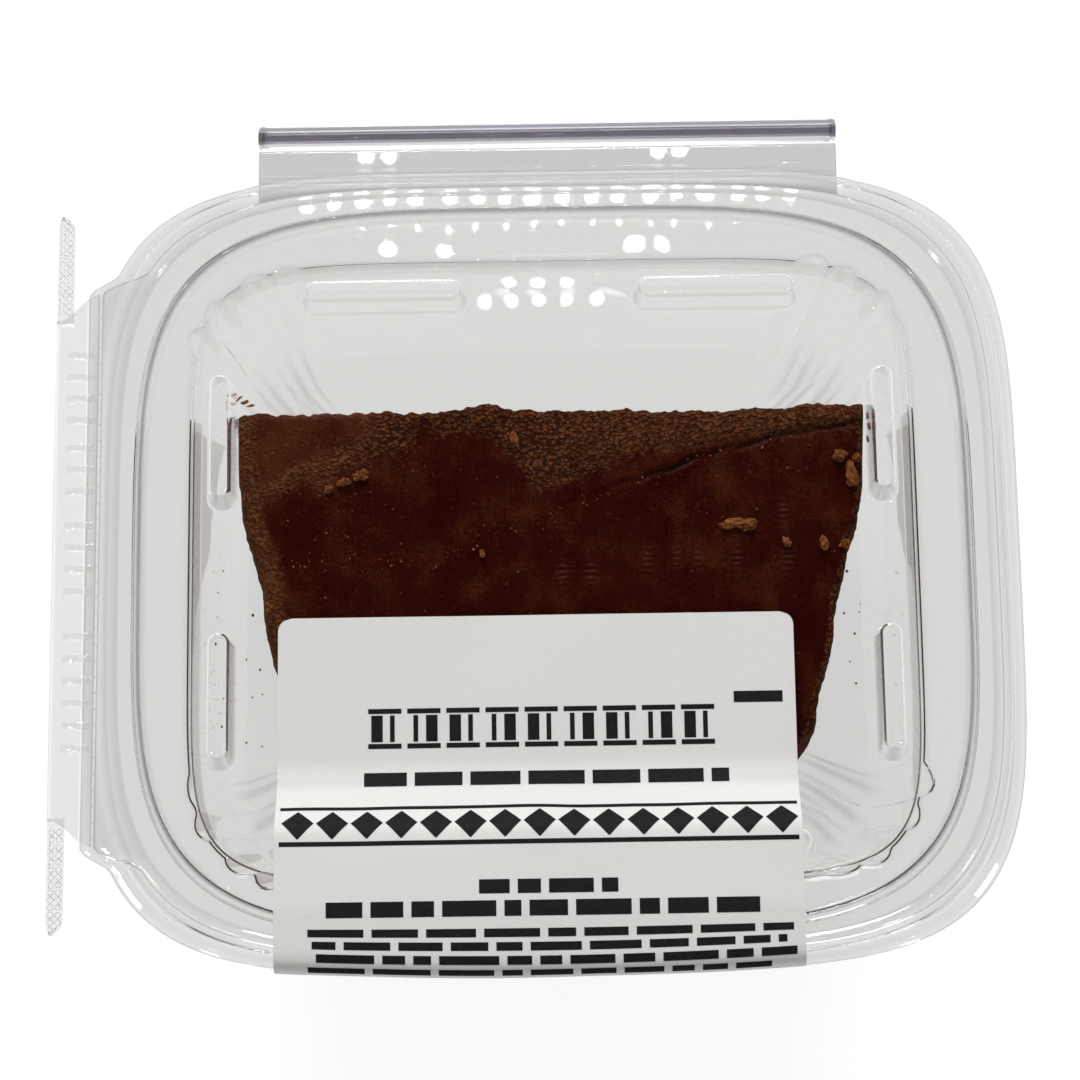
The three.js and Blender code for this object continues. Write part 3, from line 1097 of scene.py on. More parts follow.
@dataclass(frozen=True)
class Rib:
    """One hollow rib of the lid: a round-ended bump with steep sides.

    Its section is how far it stands off its middle line, and how high, from its foot to its top.
    """

    x: float
    y: float
    half: float
    along_y: bool
    segments: int = 40
    end_radius: float = 1.55
    wall_shade: float = 0.4

    SECTION = (
        (2.52, 0.0),
        (2.42, 0.0),
        (2.34, 0.05),
        (2.25, 0.22),
        (2.13, 0.6),
        (2.0, 1.2),
        (1.66, 4.8),
        (1.58, 5.5),
        (1.46, 5.92),
        (1.28, 6.16),
        (1.05, 6.22),
        (0.75, 6.22),
    )

    def loop(self, bm: BMesh, verts: Iterable[BMVert], spread: float, z: float, dark: float) -> None:
        """Put a loop of vertices on the rib's outline.

        Args:
            bm: The lid's mesh.
            verts: The loop.
            spread: How far the outline stands off the rib's middle line.
            z: The height.
            dark: How much painted shade greys the film at the rib's round ends.
        """
        layer = bm.verts.layers.int["turn"]
        painted_shade = bm.verts.layers.float["painted_shade"]
        for vert in verts:
            turn = 2 * math.pi * (vert[layer] + 0.5) / self.segments
            along = math.copysign(self.half - self.end_radius, math.cos(turn)) + spread * math.cos(turn)
            across = spread * math.sin(turn)
            x, y = (-across, along) if self.along_y else (along, across)
            vert.co = Vector((self.x + x, self.y + y, z))
            # Painted shade: a little grey all round the rib's wall, most at its round ends.
            vert[painted_shade] = dark * (0.06 + 0.94 * math.cos(turn) ** 4)

    def raise_from(self, bm: BMesh, base: float) -> list[BMEdge]:
        """Build the rib.

        Args:
            bm: The lid's mesh.
            base: The height of the panel.

        Returns:
            The edges of the rib's foot, for the panel to join.
        """
        layer = bm.verts.layers.int["turn"]
        verts = Workshop.ring(bm, self.segments, layer, False)
        foot = list({e for v in verts for e in v.link_edges})
        self.loop(bm, verts, self.SECTION[0][0], base, 0.0)
        edges = foot
        for spread, rise in self.SECTION[1:]:
            verts, edges = Workshop.extrude(bm, edges)
            self.loop(bm, verts, spread, base + rise, self.wall_shade if 0.4 < rise < 6.0 else 0.0)
        bmesh.ops.contextual_create(bm, geom=edges)
        return foot


@dataclass
class Lid:
    """The upper half of the pack, with its sunken panel, ribs and hinge leaf."""

    film: bpy.types.Material
    wall: float = 0.22
    rim: float = 0.24
    panel: float = 32.0
    ring: float = 35.6
    flange: float = 38.05
    edge: float = -67.0
    leaf_end: float = 64.5
    side_ribs: tuple[float, float, float] = (49.3, 10.3, 29.3)
    end_ribs: tuple[float, float, float] = (42.3, 13.2, 36.7)

    def rings(self) -> list[Ring]:
        """The top of the lid.

        Returns:
            The rings, from the edge of its panel outwards.
        """
        f = self.flange
        # The grey values on these rings are painted shade: grey lines at the panel's edge, at the step up to
        # the flange, and at the bead and lip.
        corners = [
            Ring(52.15, 46.0, 7.0, self.panel),
            Ring(52.45, 46.3, 7.0, self.panel, painted_shade=0.05),
            Ring(53.3, 47.1, 7.0, self.ring, painted_shade=0.15),
            Ring(53.9, 47.7, 6.8, self.ring),
            Ring(60.0, 53.65, 4.1, self.ring),
            Ring(60.35, 54.0, 4.1, self.ring, painted_shade=0.12),
            Ring(60.62, 54.27, 4.1, self.ring + 0.9),
            Ring(60.76, 54.4, 4.1, self.ring + 1.75, painted_shade=0.3),
            Ring(60.92, 54.55, 4.1, f - 0.2, painted_shade=0.8),
            Ring(61.2, 54.8, 4.1, f, painted_shade=0.8),
            Ring(61.45, 55.03, 4.1, f, painted_shade=0.2),
            Ring(61.75, 55.3, 4.1, f),
            Ring(63.75, 56.83, 4.4, f),
            Ring(63.9, 56.95, 4.4, f),
            Ring(64.2, 57.2, 4.4, f - 0.01, painted_shade=0.3),
            Ring(64.6, 57.55, 4.5, f, bead=self.rim, shelf=0.2, painted_shade=0.1),
            Ring(65.2, 58.12, 4.55, f, bead=self.rim, shelf=0.8),
            Ring(65.4, 58.3, 4.55, f, bead=self.rim, shelf=0.93, drop=0.08, painted_shade=0.1),
            Ring(65.5, 58.4, 4.55, f, bead=self.rim, shelf=1.0, drop=0.24, painted_shade=0.5),
        ]
        radii = [0, 0.3, 0.5, 0, 0, 0.3, 0.4, 0.3, 0.2, 0.2, 0, 0, 0, 0, 0.2, 0.25, 0, 0, 0]
        return rounded(corners, radii)

    def ribs(self) -> list[Rib]:
        """The eight ribs, two to a side.

        Returns:
            The ribs.
        """
        made = []
        for side in (-1, 1):
            for end in (-1, 1):
                off, low, high = self.side_ribs
                made.append(Rib(side * off, end * (low + high) / 2, (high - low) / 2, True))
                off, low, high = self.end_ribs
                made.append(Rib(side * (low + high) / 2, end * off, (high - low) / 2, False))
        return made

    def build(self, outline: PackOutline) -> None:
        """Make the lid's film, with three scored lines across its hinge leaf.

        Args:
            outline: How its rings are drawn.
        """
        rings = self.rings()
        loft = Loft(outline, self.edge, False, rings[0])
        for ring in rings[1:]:
            loft.draw(ring)
        f = self.flange
        rows = [(58.55, f), (58.7, f - 0.03), (58.85, f)]
        for line in (59.2, 59.9, 60.6):
            rows += [(line - 0.16, f), (line - 0.06, f - 0.035), (line + 0.06, f - 0.035), (line + 0.16, f)]
        rows += [(61.5, f), (63.4, f), (64.1, f), (self.leaf_end, f)]
        loft.leaf(outline.hinge_half, rows)
        feet = list(loft.first_edges)
        for rib in self.ribs():
            feet += rib.raise_from(loft.bm, self.panel)
        bmesh.ops.triangle_fill(loft.bm, use_beauty=True, use_dissolve=False, edges=feet, normal=(0, 0, 1))
        Workshop.face_up(loft.bm)
        item = Workshop.piece("lid_film", loft.bm, self.film, Body.LID, Slot.FILM, ["lid"], soft_rim=True)
        Workshop.thicken(item, self.wall)


# ---- hinge ------------------------------------------------------------------------------------------


@dataclass
class HingeRoll:
    """The rolled fold at the rear, flared at both ends, with painted shade over all but its front.

    The profile is stations along half the roll, as a share of its half length, and how far it stands out there.
    """

    film: bpy.types.Material
    y: float = 66.8
    z: float = 37.4
    radius: float = 1.72
    half: float = 43.75
    wall: float = 0.8
    steps: int = 40
    shaded_rear: tuple[float, float] = (-1.6, -0.8)
    profile: tuple[tuple[float, float], ...] = (
        (-1.0, -0.62),
        (-0.998, -0.22),
        (-0.994, 0.02),
        (-0.988, 0.12),
        (-0.98, 0.1),
        (-0.972, 0.0),
        (-0.96, -0.04),
        (-0.5, 0.0),
        (0.0, -0.02),
    )

    def build(self) -> None:
        """Make the roll by spinning its side line about the hinge's axis."""
        stations = list(self.profile)
        stations += [(-share, grow) for share, grow in reversed(self.profile[:-1])]
        bm = bmesh.new()
        grey = bm.verts.layers.float.new("painted_shade")
        top = self.z + self.radius
        line = [bm.verts.new((self.half * share, self.y, top + grow)) for share, grow in stations]
        edges = [bm.edges.new(pair) for pair in zip(line, line[1:])]
        bmesh.ops.spin(
            bm,
            geom=line + edges,
            axis=(1, 0, 0),
            cent=(0, self.y, self.z),
            angle=2 * math.pi,
            steps=self.steps,
            use_merge=True,
        )
        bmesh.ops.remove_doubles(bm, verts=bm.verts, dist=1e-4)
        # Painted shade: the film greys over the roll's top and rear, and stays clear at its front edge.
        for vert in bm.verts:
            vert[grey] = smoothstep(*self.shaded_rear, vert.co.y - self.y)
        bmesh.ops.recalc_face_normals(bm, faces=bm.faces)
        if any(f.normal.z < 0 for f in bm.faces if f.calc_center_median().z > self.z + self.radius * 0.9):
            bmesh.ops.reverse_faces(bm, faces=bm.faces)
        item = Workshop.piece("hinge_roll", bm, self.film, Body.BASE, Slot.FILM, ["hinge_fold"])
        Workshop.thicken(item, self.wall)


# ---- tear strip -------------------------------------------------------------------------------------


@dataclass
class TearStrip:
    """The folded strip on the left, with its raised bars, nicks and two knurled pull tabs."""

    film: bpy.types.Material
    grip: bpy.types.Material
    wall: float = 0.36
    root: float = -67.35
    low_root: float = -69.5
    fold: float = -73.85
    top: float = 38.08
    low: float = 36.75
    half_fold: float = 38.0
    half_root: float = 42.0
    steps: int = 120
    edge_shade: float = 0.35
    tab_wall: float = 0.5
    tab_span: tuple[float, float] = (37.6, 54.7)
    tab_width: float = 2.45
    knurl_pitch: float = 1.1
    nick_pitch: float = 2.4
    words: tuple[tuple[float, int], ...] = ((-27.4, 6), (-3.9, 4), (11.4, 3), (22.4, 4))
    bar_pitch: float = 3.35
    bar_size: tuple[float, float, float] = (4.3, 1.15, 0.3)

    def reach(self, x: float) -> float:
        """Half the strip's length at a place across it, so that its ends are S-shaped."""
        return self.half_fold + (self.half_root - self.half_fold) * smoothstep(self.fold + 0.4, self.root, x)

    def section(self) -> list[tuple[float, float]]:
        """The strip's line across.

        Returns:
            Points in X and Z, from the lid round the fold to the tub.
        """
        radius = (self.top - self.low) / 2
        centre = self.fold + radius
        points = [(self.root, self.top), (self.root - 0.15, self.top), (self.root - 0.3, self.top)]
        points += [(self.root + (centre - self.root) * step / 12, self.top) for step in range(1, 13)]
        for step in range(1, 10):
            turn = math.pi / 2 + math.pi * step / 10
            points.append((centre + radius * math.cos(turn), self.top - radius + radius * math.sin(turn)))
        points += [(centre + (self.low_root - centre) * step / 8, self.low) for step in range(9)]
        points.append((self.low_root + 0.12, self.low))
        return points

    def leaf(self) -> None:
        """The folded film: its section drawn out along the side."""
        bm = bmesh.new()
        bm.verts.layers.int.new("turn")
        bm.verts.layers.float.new("painted_shade")
        layer, grey = bm.verts.layers.int["turn"], bm.verts.layers.float["painted_shade"]
        section = self.section()
        first = [bm.verts.new((x, -self.reach(x), z)) for x, z in section]
        edges = [bm.edges.new(pair) for pair in zip(first, first[1:])]
        for index, vert in enumerate(first):
            vert[layer] = index
            # Painted shade: a grey line along the leaf's edge at the perforation.
            vert[grey] = self.edge_shade if index < 2 else 0.0
        for step in range(1, self.steps + 1):
            share = -math.cos(math.pi * step / self.steps)
            verts, edges = Workshop.extrude(bm, edges)
            for vert in verts:
                x, z = section[vert[layer]]
                vert.co = Vector((x, share * self.reach(x), z))
        bmesh.ops.recalc_face_normals(bm, faces=bm.faces)
        top = [f for f in bm.faces if f.calc_center_median().z > self.top - 0.01]
        if sum(f.normal.z for f in top) < 0:
            bmesh.ops.reverse_faces(bm, faces=bm.faces)
        item = Workshop.piece(
            "tear_strip_film", bm, self.film, Body.LID, Slot.FILM, ["tear_strip"], soft_rim=True
        )
        Workshop.thicken(item, self.wall)

    def tab(self, end: int, name: str) -> None:
        """One pull tab: flat, with a cross-cut grip and a round point.

        Args:
            end: 1 for the rear tab and -1 for the front one.
            name: The piece's name.
        """
        low, high = self.tab_span
        width = self.tab_width
        bm = bmesh.new()
        bmesh.ops.create_grid(bm, x_segments=24, y_segments=150, size=0.5)
        middle = (self.top + self.low) / 2
        turn = 2 * math.pi / self.knurl_pitch
        for vert in bm.verts:
            across, along = vert.co.x + 0.5, vert.co.y + 0.5
            y = low + (high - low) * along
            tip = smoothstep(high - 2.6, high, y)
            wide = width * math.sqrt(max(1 - tip * tip * 0.94, 0.02))
            x = self.fold + 0.12 + (width - wide) * 0.25 + wide * across
            fade = smoothstep(0, 0.12, across) * smoothstep(0, 0.12, 1 - across)
            fade *= smoothstep(low + 0.6, low + 1.6, y)
            ridge = max(math.cos((x + y) * turn), math.cos((x - y) * turn), 0.0) ** 2
            vert.co = Vector((x, end * y, middle + 0.18 + 0.07 * ridge * fade))
        Workshop.face_up(bm)
        item = Workshop.piece(name, bm, self.grip, Body.LID, Slot.FILM)
        Workshop.thicken(item, self.tab_wall)

    def bars(self) -> None:
        """Plain raised bars along the upper leaf, in groups."""
        bm = bmesh.new()
        middle = (self.root + self.fold) / 2 + 0.75
        for start, count in self.words:
            for index in range(count):
                self.bar(bm, middle, start + index * self.bar_pitch)
        Workshop.piece("tear_strip_bars", bm, self.film, Body.LID, Slot.FILM)

    def bar(self, bm: BMesh, x: float, y: float) -> None:
        """One low bar with soft edges.

        Args:
            bm: The bars' mesh.
            x: Its middle along X.
            y: Its middle along Y.
        """
        made = bmesh.ops.create_cube(bm, size=1.0)
        place = Matrix.Translation((x, y, self.top + self.bar_size[2] / 2 + 0.005))
        place = place @ Matrix.Diagonal((*self.bar_size, 1))
        bmesh.ops.transform(bm, matrix=place, verts=made["verts"])
        bmesh.ops.bevel(
            bm,
            geom=list({e for v in made["verts"] for e in v.link_edges}),
            offset=0.14,
            segments=3,
            profile=0.5,
            affect="EDGES",
            material=-1,
            clamp_overlap=True,
        )

    def nicks(self) -> None:
        """The small bridges between the holes of the perforation, along the lid's edge."""
        bm = bmesh.new()
        pitch = self.nick_pitch
        count = int(2 * (self.half_root - 1) / pitch)
        for index in range(count + 1):
            y = -pitch * count / 2 + pitch * index
            made = bmesh.ops.create_cube(bm, size=1.0)
            place = Matrix.Translation((self.root + 0.18, y, self.top - 0.1))
            place = place @ Matrix.Diagonal((0.34, 0.4, 0.16, 1))
            bmesh.ops.transform(bm, matrix=place, verts=made["verts"])
        bmesh.ops.bevel(
            bm, geom=list(bm.edges), offset=0.06, segments=1, profile=0.5, affect="EDGES", material=-1
        )
        Workshop.piece("perforation_nicks", bm, self.film, Body.LID, Slot.FILM)

    def build(self) -> None:
        """Make the strip and what is on it."""
        self.leaf()
        self.tab(1, "pull_tab_rear")
        self.tab(-1, "pull_tab_front")
        self.bars()
        self.nicks()


# ---- label ------------------------------------------------------------------------------------------


@dataclass
class Label:
    """The paper label and its print, which lie on one surface."""

    paper: bpy.types.Material
    ink: bpy.types.Material
    left: float = -40.9
    right: float = 35.3
    rear: float = -7.0
    front: float = -61.35
    flap: float = 35.95
    corner: float = 2.0
    panel: float = 32.0
    over: float = 39.25
    thickness: float = 0.12
    ink_lift: float = 0.035
    ease: float = 0.9
    word_gap: float = 1.15

    def line(self) -> list[Vector]:
        """The label's line: on the panel, up the ribs, over the rim and down in front.

        Returns:
            Points in Y and Z, from rear to front.
        """
        low, over = self.panel + self.thickness, self.over
        corners = [
            (self.rear, low),
            (-29.5, low),
            (-33.4, self.panel + 0.9),
            (-39.6, 38.15),
            (-41.4, 38.5),
            (-44.4, 38.75),
            (-52.0, over),
            (-59.5, over - 0.12),
            (self.front + 0.35, over - 0.6),
            (self.front, over - 1.7),
            (self.front, self.flap),
        ]
        return [Vector((y, z)) for y, z in corners]

    @property
    def length(self) -> float:
        """How long the paper is along its line.

        Returns:
            The length in millimetres.
        """
        line = self.line()
        return sum((end - start).length for start, end in zip(line, line[1:]))

    def surface(self, across: float, along: float) -> tuple[Vector, Vector]:
        """A place on the label.

        Args:
            across: The place along X, in millimetres.
            along: The distance from the rear edge along the paper.

        Returns:
            The point and the direction off its printed side.
        """
        line = self.line()
        left = along
        for start, end in zip(line, line[1:]):
            span = (end - start).length
            if left <= span or end == line[-1]:
                break
            left -= span
        share = left / span
        at = start.lerp(end, share)
        step = (end - start).normalized()
        normal = Vector((0, step.y, -step.x))
        place = Vector((across, at.x, at.y))
        return place, normal

    def smooth_surface(self, across: float, along: float) -> tuple[Vector, Vector]:
        """The same place with the line's corners eased, the paper's waves, and its bow along the curved rim.

        Args:
            across: The place along X, in millimetres.
            along: The distance from the rear edge along the paper.

        Returns:
            The point and the direction off its printed side.
        """
        length, reach = self.length, self.ease
        near = [min(max(along + k * reach, 0.0), length) for k in (-1, -0.5, 0, 0.5, 1)]
        spots = [self.surface(across, at) for at in near]
        place = sum((p for p, _ in spots), Vector()) / len(spots)
        if along < reach or along > length - reach:
            place = spots[2][0]
        normal = sum((n for _, n in spots), Vector()).normalized()
        aside = (2 * across - self.left - self.right) / (self.right - self.left)
        bow = 1.05 * aside**2 * smoothstep(length - 12.0, length - 3.5, along)
        return place + normal * self.wave(across, along) + Vector((0, bow, 0)), normal

    @staticmethod
    def wave(across: float, along: float) -> float:
        """The paper's own unevenness: soft cockling, sharper folds over the ribs, and one crease at the rear.

        Args:
            across: The place along X.
            along: The distance from the rear edge.

        Returns:
            How far the paper stands off, in millimetres.
        """
        spot = Vector((across, along, 0))
        cockle = 0.10 * (grain(spot, 17.0, 3.1) + 0.5)
        over_ribs = smoothstep(22, 30, along) * (1 - smoothstep(34, 42, along))
        tent = 0.22 * over_ribs * (grain(spot, 9.0, 7.7) + 0.3)
        crease = 0.14 * peak(across - 19.5 - 0.12 * along, 0.5) * (1 - smoothstep(8, 15, along))
        return max(cockle + tent + crease, 0.0)

    def sheet(self) -> None:
        """The paper: a fine grid laid on the surface, with round rear corners."""
        bm = bmesh.new()
        bmesh.ops.create_grid(bm, x_segments=96, y_segments=150, size=0.5)
        length = self.length
        middle = (self.left + self.right) / 2
        half = (self.right - self.left) / 2
        for vert in bm.verts:
            across = self.left + (self.right - self.left) * (vert.co.x + 0.5)
            along = length * (0.5 - vert.co.y)
            inset = self.corner_inset(along)
            across = middle + (across - middle) * (half - inset) / half
            vert.co = self.smooth_surface(across, along)[0]
        Workshop.face_up(bm)
        item = Workshop.piece("label_paper", bm, self.paper, Body.LID, Slot.PAPER, ["label"])
        Workshop.thicken(item, self.thickness, 1.0)

    def corner_inset(self, along: float) -> float:
        """How far the sides draw in at the round rear corners.

        Args:
            along: The distance from the rear edge.

        Returns:
            The distance that each side moves in.
        """
        if along >= self.corner:
            return 0.0
        rise = self.corner - along
        return self.corner - math.sqrt(max(self.corner**2 - rise**2, 0.0))

    def bar(
        self, bm: BMesh, across: float, along: float, width: float, height: float, lean: float = 0.0
    ) -> None:
        """Lay one printed block on the paper.

        Args:
            bm: The print's mesh.
            across: Its left end.
            along: Its rear edge, from the label's rear edge.
            width: Its length along X.
            height: Its size along the paper.
            lean: How far its middle line is drawn out to points at both ends, from 0 to 1.
        """
        columns = max(1, round(width / 1.5))
        rows = max(1, round(height / 0.8))
        made = bmesh.ops.create_grid(bm, x_segments=columns, y_segments=rows, size=0.5)
        for vert in made["verts"]:
            u, v = vert.co.x, 0.5 - vert.co.y
            squeeze = 1 - lean * abs(2 * v - 1)
            place, normal = self.smooth_surface(across + width * (0.5 + u * squeeze), along + height * v)
            vert.co = place + normal * (self.thickness + self.ink_lift)

    def words(self, bm: BMesh, along: float, height: float, left: float, right: float, seed: int) -> None:
        """A line of plain bars as long as words.

        Args:
            bm: The print's mesh.
            along: Its rear edge, from the label's rear edge.
            height: The bars' size along the paper.
            left: Where the line starts.
            right: Where it ends.
            seed: What settles the bars' lengths.
        """
        draw = random.Random(seed)
        at = left
        while at < right - 1.2:
            size = min(draw.uniform(2.4, 8.6), right - at)
            self.bar(bm, at, along, size, height)
            at += size + self.word_gap

    def title(self, bm: BMesh) -> None:
        """A row of nine plain blocks, each a broad and a narrow stroke between two rules.

        Args:
            bm: The print's mesh.
        """
        left, width, pitch = -27.6, 4.9, 5.75
        along, height, rule = 13.9, 6.0, 0.75
        for index in range(9):
            x = left + index * pitch
            self.bar(bm, x, along, width, rule)
            self.bar(bm, x, along + height - rule, width, rule)
            broad_first = index % 2 == 0
            self.bar(bm, x + (0.45 if broad_first else 2.75), along + 1.0, 1.7, height - 2.0)
            self.bar(bm, x + (3.2 if broad_first else 0.9), along + 1.0, 0.7, height - 2.0)

    def band(self, bm: BMesh) -> None:
        """A row of lozenges between two rules.

        Args:
            bm: The print's mesh.
        """
        left, along, width, count = -40.2, 30.4, 75.0, 15
        self.bar(bm, left, along, width, 0.7)
        self.bar(bm, left, along + 6.5, width, 0.7)
        for index in range(count):
            self.bar(bm, left + 0.3 + index * width / count, along + 1.1, 4.7, 5.0, 0.96)

    def build(self) -> None:
        """Make the paper and its print."""
        self.sheet()
        bm = bmesh.new()
        self.words(bm, 12.0, 1.7, 26.2, 33.4, 2)
        self.title(bm)
        self.words(bm, 23.6, 2.2, -28.2, 25.4, 5)
        self.band(bm)
        self.words(bm, 42.8, 2.1, -11.4, 8.6, 7)
        self.words(bm, 45.9, 2.3, -33.4, 31.0, 9)
        for row, right in enumerate((33.6, 32.6, 34.0, 31.0)):
            self.words(bm, 50.0 + row * 1.98, 1.25, -36.0 + (row % 3) * 0.6, right, 20 + row)
        Workshop.face_up(bm)
        Workshop.piece("label_print", bm, self.ink, Body.LID, Slot.PAPER)


# ---- fudge ------------------------------------------------------------------------------------------


@dataclass
class FudgeSlab:
    """The slab: a slice of a loaf with a smooth cut face and a porous rear edge.

    crust and crack are lines across the face, as places along Y by places along X. left_side and right_side are
    its sides, as places along X by places along Y.
    """

    VALUES = ("porous", "hazy", "painted_glint_mask", "crack")
    # Spots of the face whose knife marks get a painted highlight: place along X and Y, and width.
    PAINTED_GLINTS = (
        (1.4, 0.3, 0.9),
        (5.6, 0.2, 0.9),
        (13.9, 1.9, 0.7),
        (18.4, 2.4, 0.5),
        (21.6, 2.4, 0.5),
        (27.5, 2.2, 0.6),
        (35.0, 2.1, 0.8),
        (34.6, 9.2, 0.7),
    )
    PAINTED_GLINT_HEIGHT = 1.7

    fudge: bpy.types.Material
    tilt: float = math.radians(4.6)
    rear: float = 25.2
    top: float = 31.0
    length: float = 64.5
    thick: float = 19.3
    highest: float = 31.45
    side_rows: int = 22
    side_porous: float = 0.95
    crust: tuple[tuple[float, float], ...] = (
        (-48.0, 10.5),
        (-36.0, 15.0),
        (-24.5, 19.6),
        (-19.0, 23.0),
        (-9.5, 22.7),
        (-6.0, 18.5),
        (-2.5, 14.0),
        (2.4, 15.2),
        (8.0, 17.5),
        (14.5, 19.6),
        (30.0, 21.3),
        (46.8, 22.6),
    )
    crack: tuple[tuple[float, float], ...] = (
        (-18.3, 2.8),
        (-1.8, 8.8),
        (4.7, 11.8),
        (11.3, 14.1),
        (16.3, 15.5),
        (22.8, 17.9),
        (27.6, 19.3),
        (35.8, 21.3),
        (46.8, 22.8),
    )
    left_side: tuple[tuple[float, float], ...] = (
        (-39.4, -33.5),
        (-36.0, -37.4),
        (-28.0, -39.8),
        (-18.1, -41.0),
        (-2.9, -43.6),
        (12.6, -46.9),
        (20.0, -47.9),
        (25.4, -48.2),
    )
    right_side: tuple[tuple[float, float], ...] = (
        (-39.4, 27.5),
        (-34.0, 33.0),
        (-26.8, 35.9),
        (-21.5, 38.7),
        (-7.5, 41.7),
        (4.7, 44.1),
        (8.4, 45.7),
        (13.7, 46.6),
        (25.4, 47.0),
    )

    def height(self, y: float) -> float:
        """The plane of the upper face."""
        return self.top - (self.rear - y) * math.tan(self.tilt)

    def crust_line(self, x: float) -> float:
        """Where the rear's porous crust ends on the face, as a place along Y."""
        return track(self.crust, x)

    def zones(self, place: Vector) -> tuple[float, float]:
        """How porous and how hazy the surface is.

        Args:
            place: A place on it.

        Returns:
            Both values, each from 0 to 1.
        """
        wobble = 0.8 * grain(place, 5.0, 1.0) + 0.7 * grain(place, 1.7, 5.0)
        behind = place.y - self.crust_line(place.x) + wobble
        rear = smoothstep(-3.4, 1.8, behind)
        left = place.x - track(self.left_side, place.y)
        right = track(self.right_side, place.y) - place.x
        side = 1 - smoothstep(2.2, 4.6, left + 0.8 * wobble)
        other = 1 - smoothstep(0.4, 1.3, right + 0.3 * wobble)
        low = smoothstep(1.0, 2.4, self.height(place.y) - place.z)
        smooth_corner = 1 - smoothstep(-31, -24, place.x + wobble)
        rim = 1 - smoothstep(0.8, 3.5, abs(behind))
        rear_crust = rear * (1 - smooth_corner * (0.85 - 0.7 * rim))
        porous = max(rear_crust, side * 0.7, other * 0.85, low * 0.75)
        above = smoothstep(-0.6, 0.8, place.y - track(self.crack, place.x)) * smoothstep(-4, 12, place.x)
        right_skin = 0.12 * smoothstep(12, 34, place.x) * smoothstep(4.0, 14.0, place.y + 0.6 * wobble)
        right_skin += 0.28 * above
        upper_left = 0.75 * rear * smooth_corner
        dry_side = 0.9 * (1 - smoothstep(2.0, 5.0, left + wobble))
        patches = 0.12 * smoothstep(0.1, 0.6, grain(place, 13.0, 4.4))
        return porous, max(upper_left, right_skin, dry_side, patches)

    @classmethod
    def shine(cls, place: Vector) -> float:
        """How much painted highlight the knife marks take, at a few spots of the face."""
        return max(peak(place.x - x, width) * peak(place.y - y, cls.PAINTED_GLINT_HEIGHT) for x, y, width in cls.PAINTED_GLINTS)

    def pits(self, place: Vector) -> float:
        """Depth of the pores, which follow two sizes of cells.

        Args:
            place: A place on the crust.

        Returns:
            The depth in millimetres.
        """
        near, _ = noise.voronoi(Vector((place.x, place.y, place.z)) / 0.95)
        far, _ = noise.voronoi(Vector((place.x + 7, place.y, place.z)) / 0.5)
        return 0.09 * max(0.0, 0.62 - near[0]) + 0.08 * max(0.0, 0.6 - far[0])

    def top_point(self, u: float, v: float) -> Vector:
        """A point of the upper face before its edges are eased.

        Args:
            u: The place from the left side to the right, from -1 to 1.
            v: The place from the front to the rear, from -1 to 1.

        Returns:
            The point.
        """
        y = self.rear - self.length * (1 - v) / 2
        left, right = track(self.left_side, y), track(self.right_side, y)
        x = left + (right - left) * (u + 1) / 2
        bump = 0.9 * peak(x + 10.0, 3.2) + 0.7 * smoothstep(35.5, 37.5, x) - 0.35 * smoothstep(8, 22, x)
        spot = Vector((x, y, 0))
        ragged = 0.55 * grain(spot, 3.4, 9.0) + 0.4 * grain(spot, 1.2, 4.0) + 0.2 * grain(spot, 0.5, 6.0)
        edge = smoothstep(0.9, 1.0, v)
        return Vector((x, y + edge * (bump + ragged), self.height(y)))

    def past_crack(self, place: Vector) -> float:
        """How far behind the crack's wavering line a place is."""
        return place.y - track(self.crack, place.x) + 0.35 * grain(place, 2.2, 6.6)

    def split(self, place: Vector, width: float) -> float:
        """How near a place is to the crack, which comes and goes at its left end.

        Args:
            place: A place on the face.
            width: Half the crack's width.

        Returns:
            From 0 to 1.
        """
        here = smoothstep(2, 20, place.x) * min(1.0, max(0.0, 0.8 + 1.2 * grain(place, 3.0, 1.9)))
        return here * peak(self.past_crack(place) + 0.25, width)

    def relief(self, place: Vector, porous: float) -> float:
        """How far the face stands above its plane.

        Args:
            place: A place on the face.
            porous: How porous it is there.

        Returns:
            The height in millimetres.
        """
        line = self.past_crack(place)
        here = smoothstep(-14, 6, place.x)
        raised = 0.2 * here * smoothstep(-0.1, 0.5, line) * (1 - smoothstep(1.5, 6.0, line))
        split = -0.3 * self.split(place, 0.4)
        crust = 0.25 * smoothstep(-0.5, 1.5, place.y - self.crust_line(place.x))
        slow = 0.22 * grain(place, 24.0, 2.2) + 0.10 * grain(place, 7.0, 6.1)
        fine = 0.2 * porous * grain(place, 0.9, 3.3)
        return raised + split + crust + slow + fine - porous * self.pits(place)

    def build(self) -> None:
        """Make the slab: its top grid first, then its sides drawn down from the edge."""
        bm = bmesh.new()
        columns, rows = 280, 185
        for name in self.VALUES:
            bm.verts.layers.float.new(name)
        bm.verts.layers.int.new("origin")
        value, haze, painted_glint_mask, crack = (bm.verts.layers.float[name] for name in self.VALUES)
        bmesh.ops.create_grid(bm, x_segments=columns, y_segments=rows, size=1.0)
        for vert in bm.verts:
            u, v = vert.co.x, vert.co.y
            place = self.top_point(u, v)
            left = place.x - track(self.left_side, place.y)
            right = track(self.right_side, place.y) - place.x
            rear = (1 - v) * self.length / 2
            front = (1 + v) * self.length / 2
            drop = self.edge_drop(left, 4.6, 3.4) + self.edge_drop(right, 1.5, 1.1)
            drop += self.edge_drop(rear, 1.3, 0.9) + self.edge_drop(front, 3.0, 2.4)
            place.z -= min(drop, 4.2)
            porous, hazy = self.zones(place)
            place.z += self.relief(place, porous)
            place.z = min(place.z, self.highest)
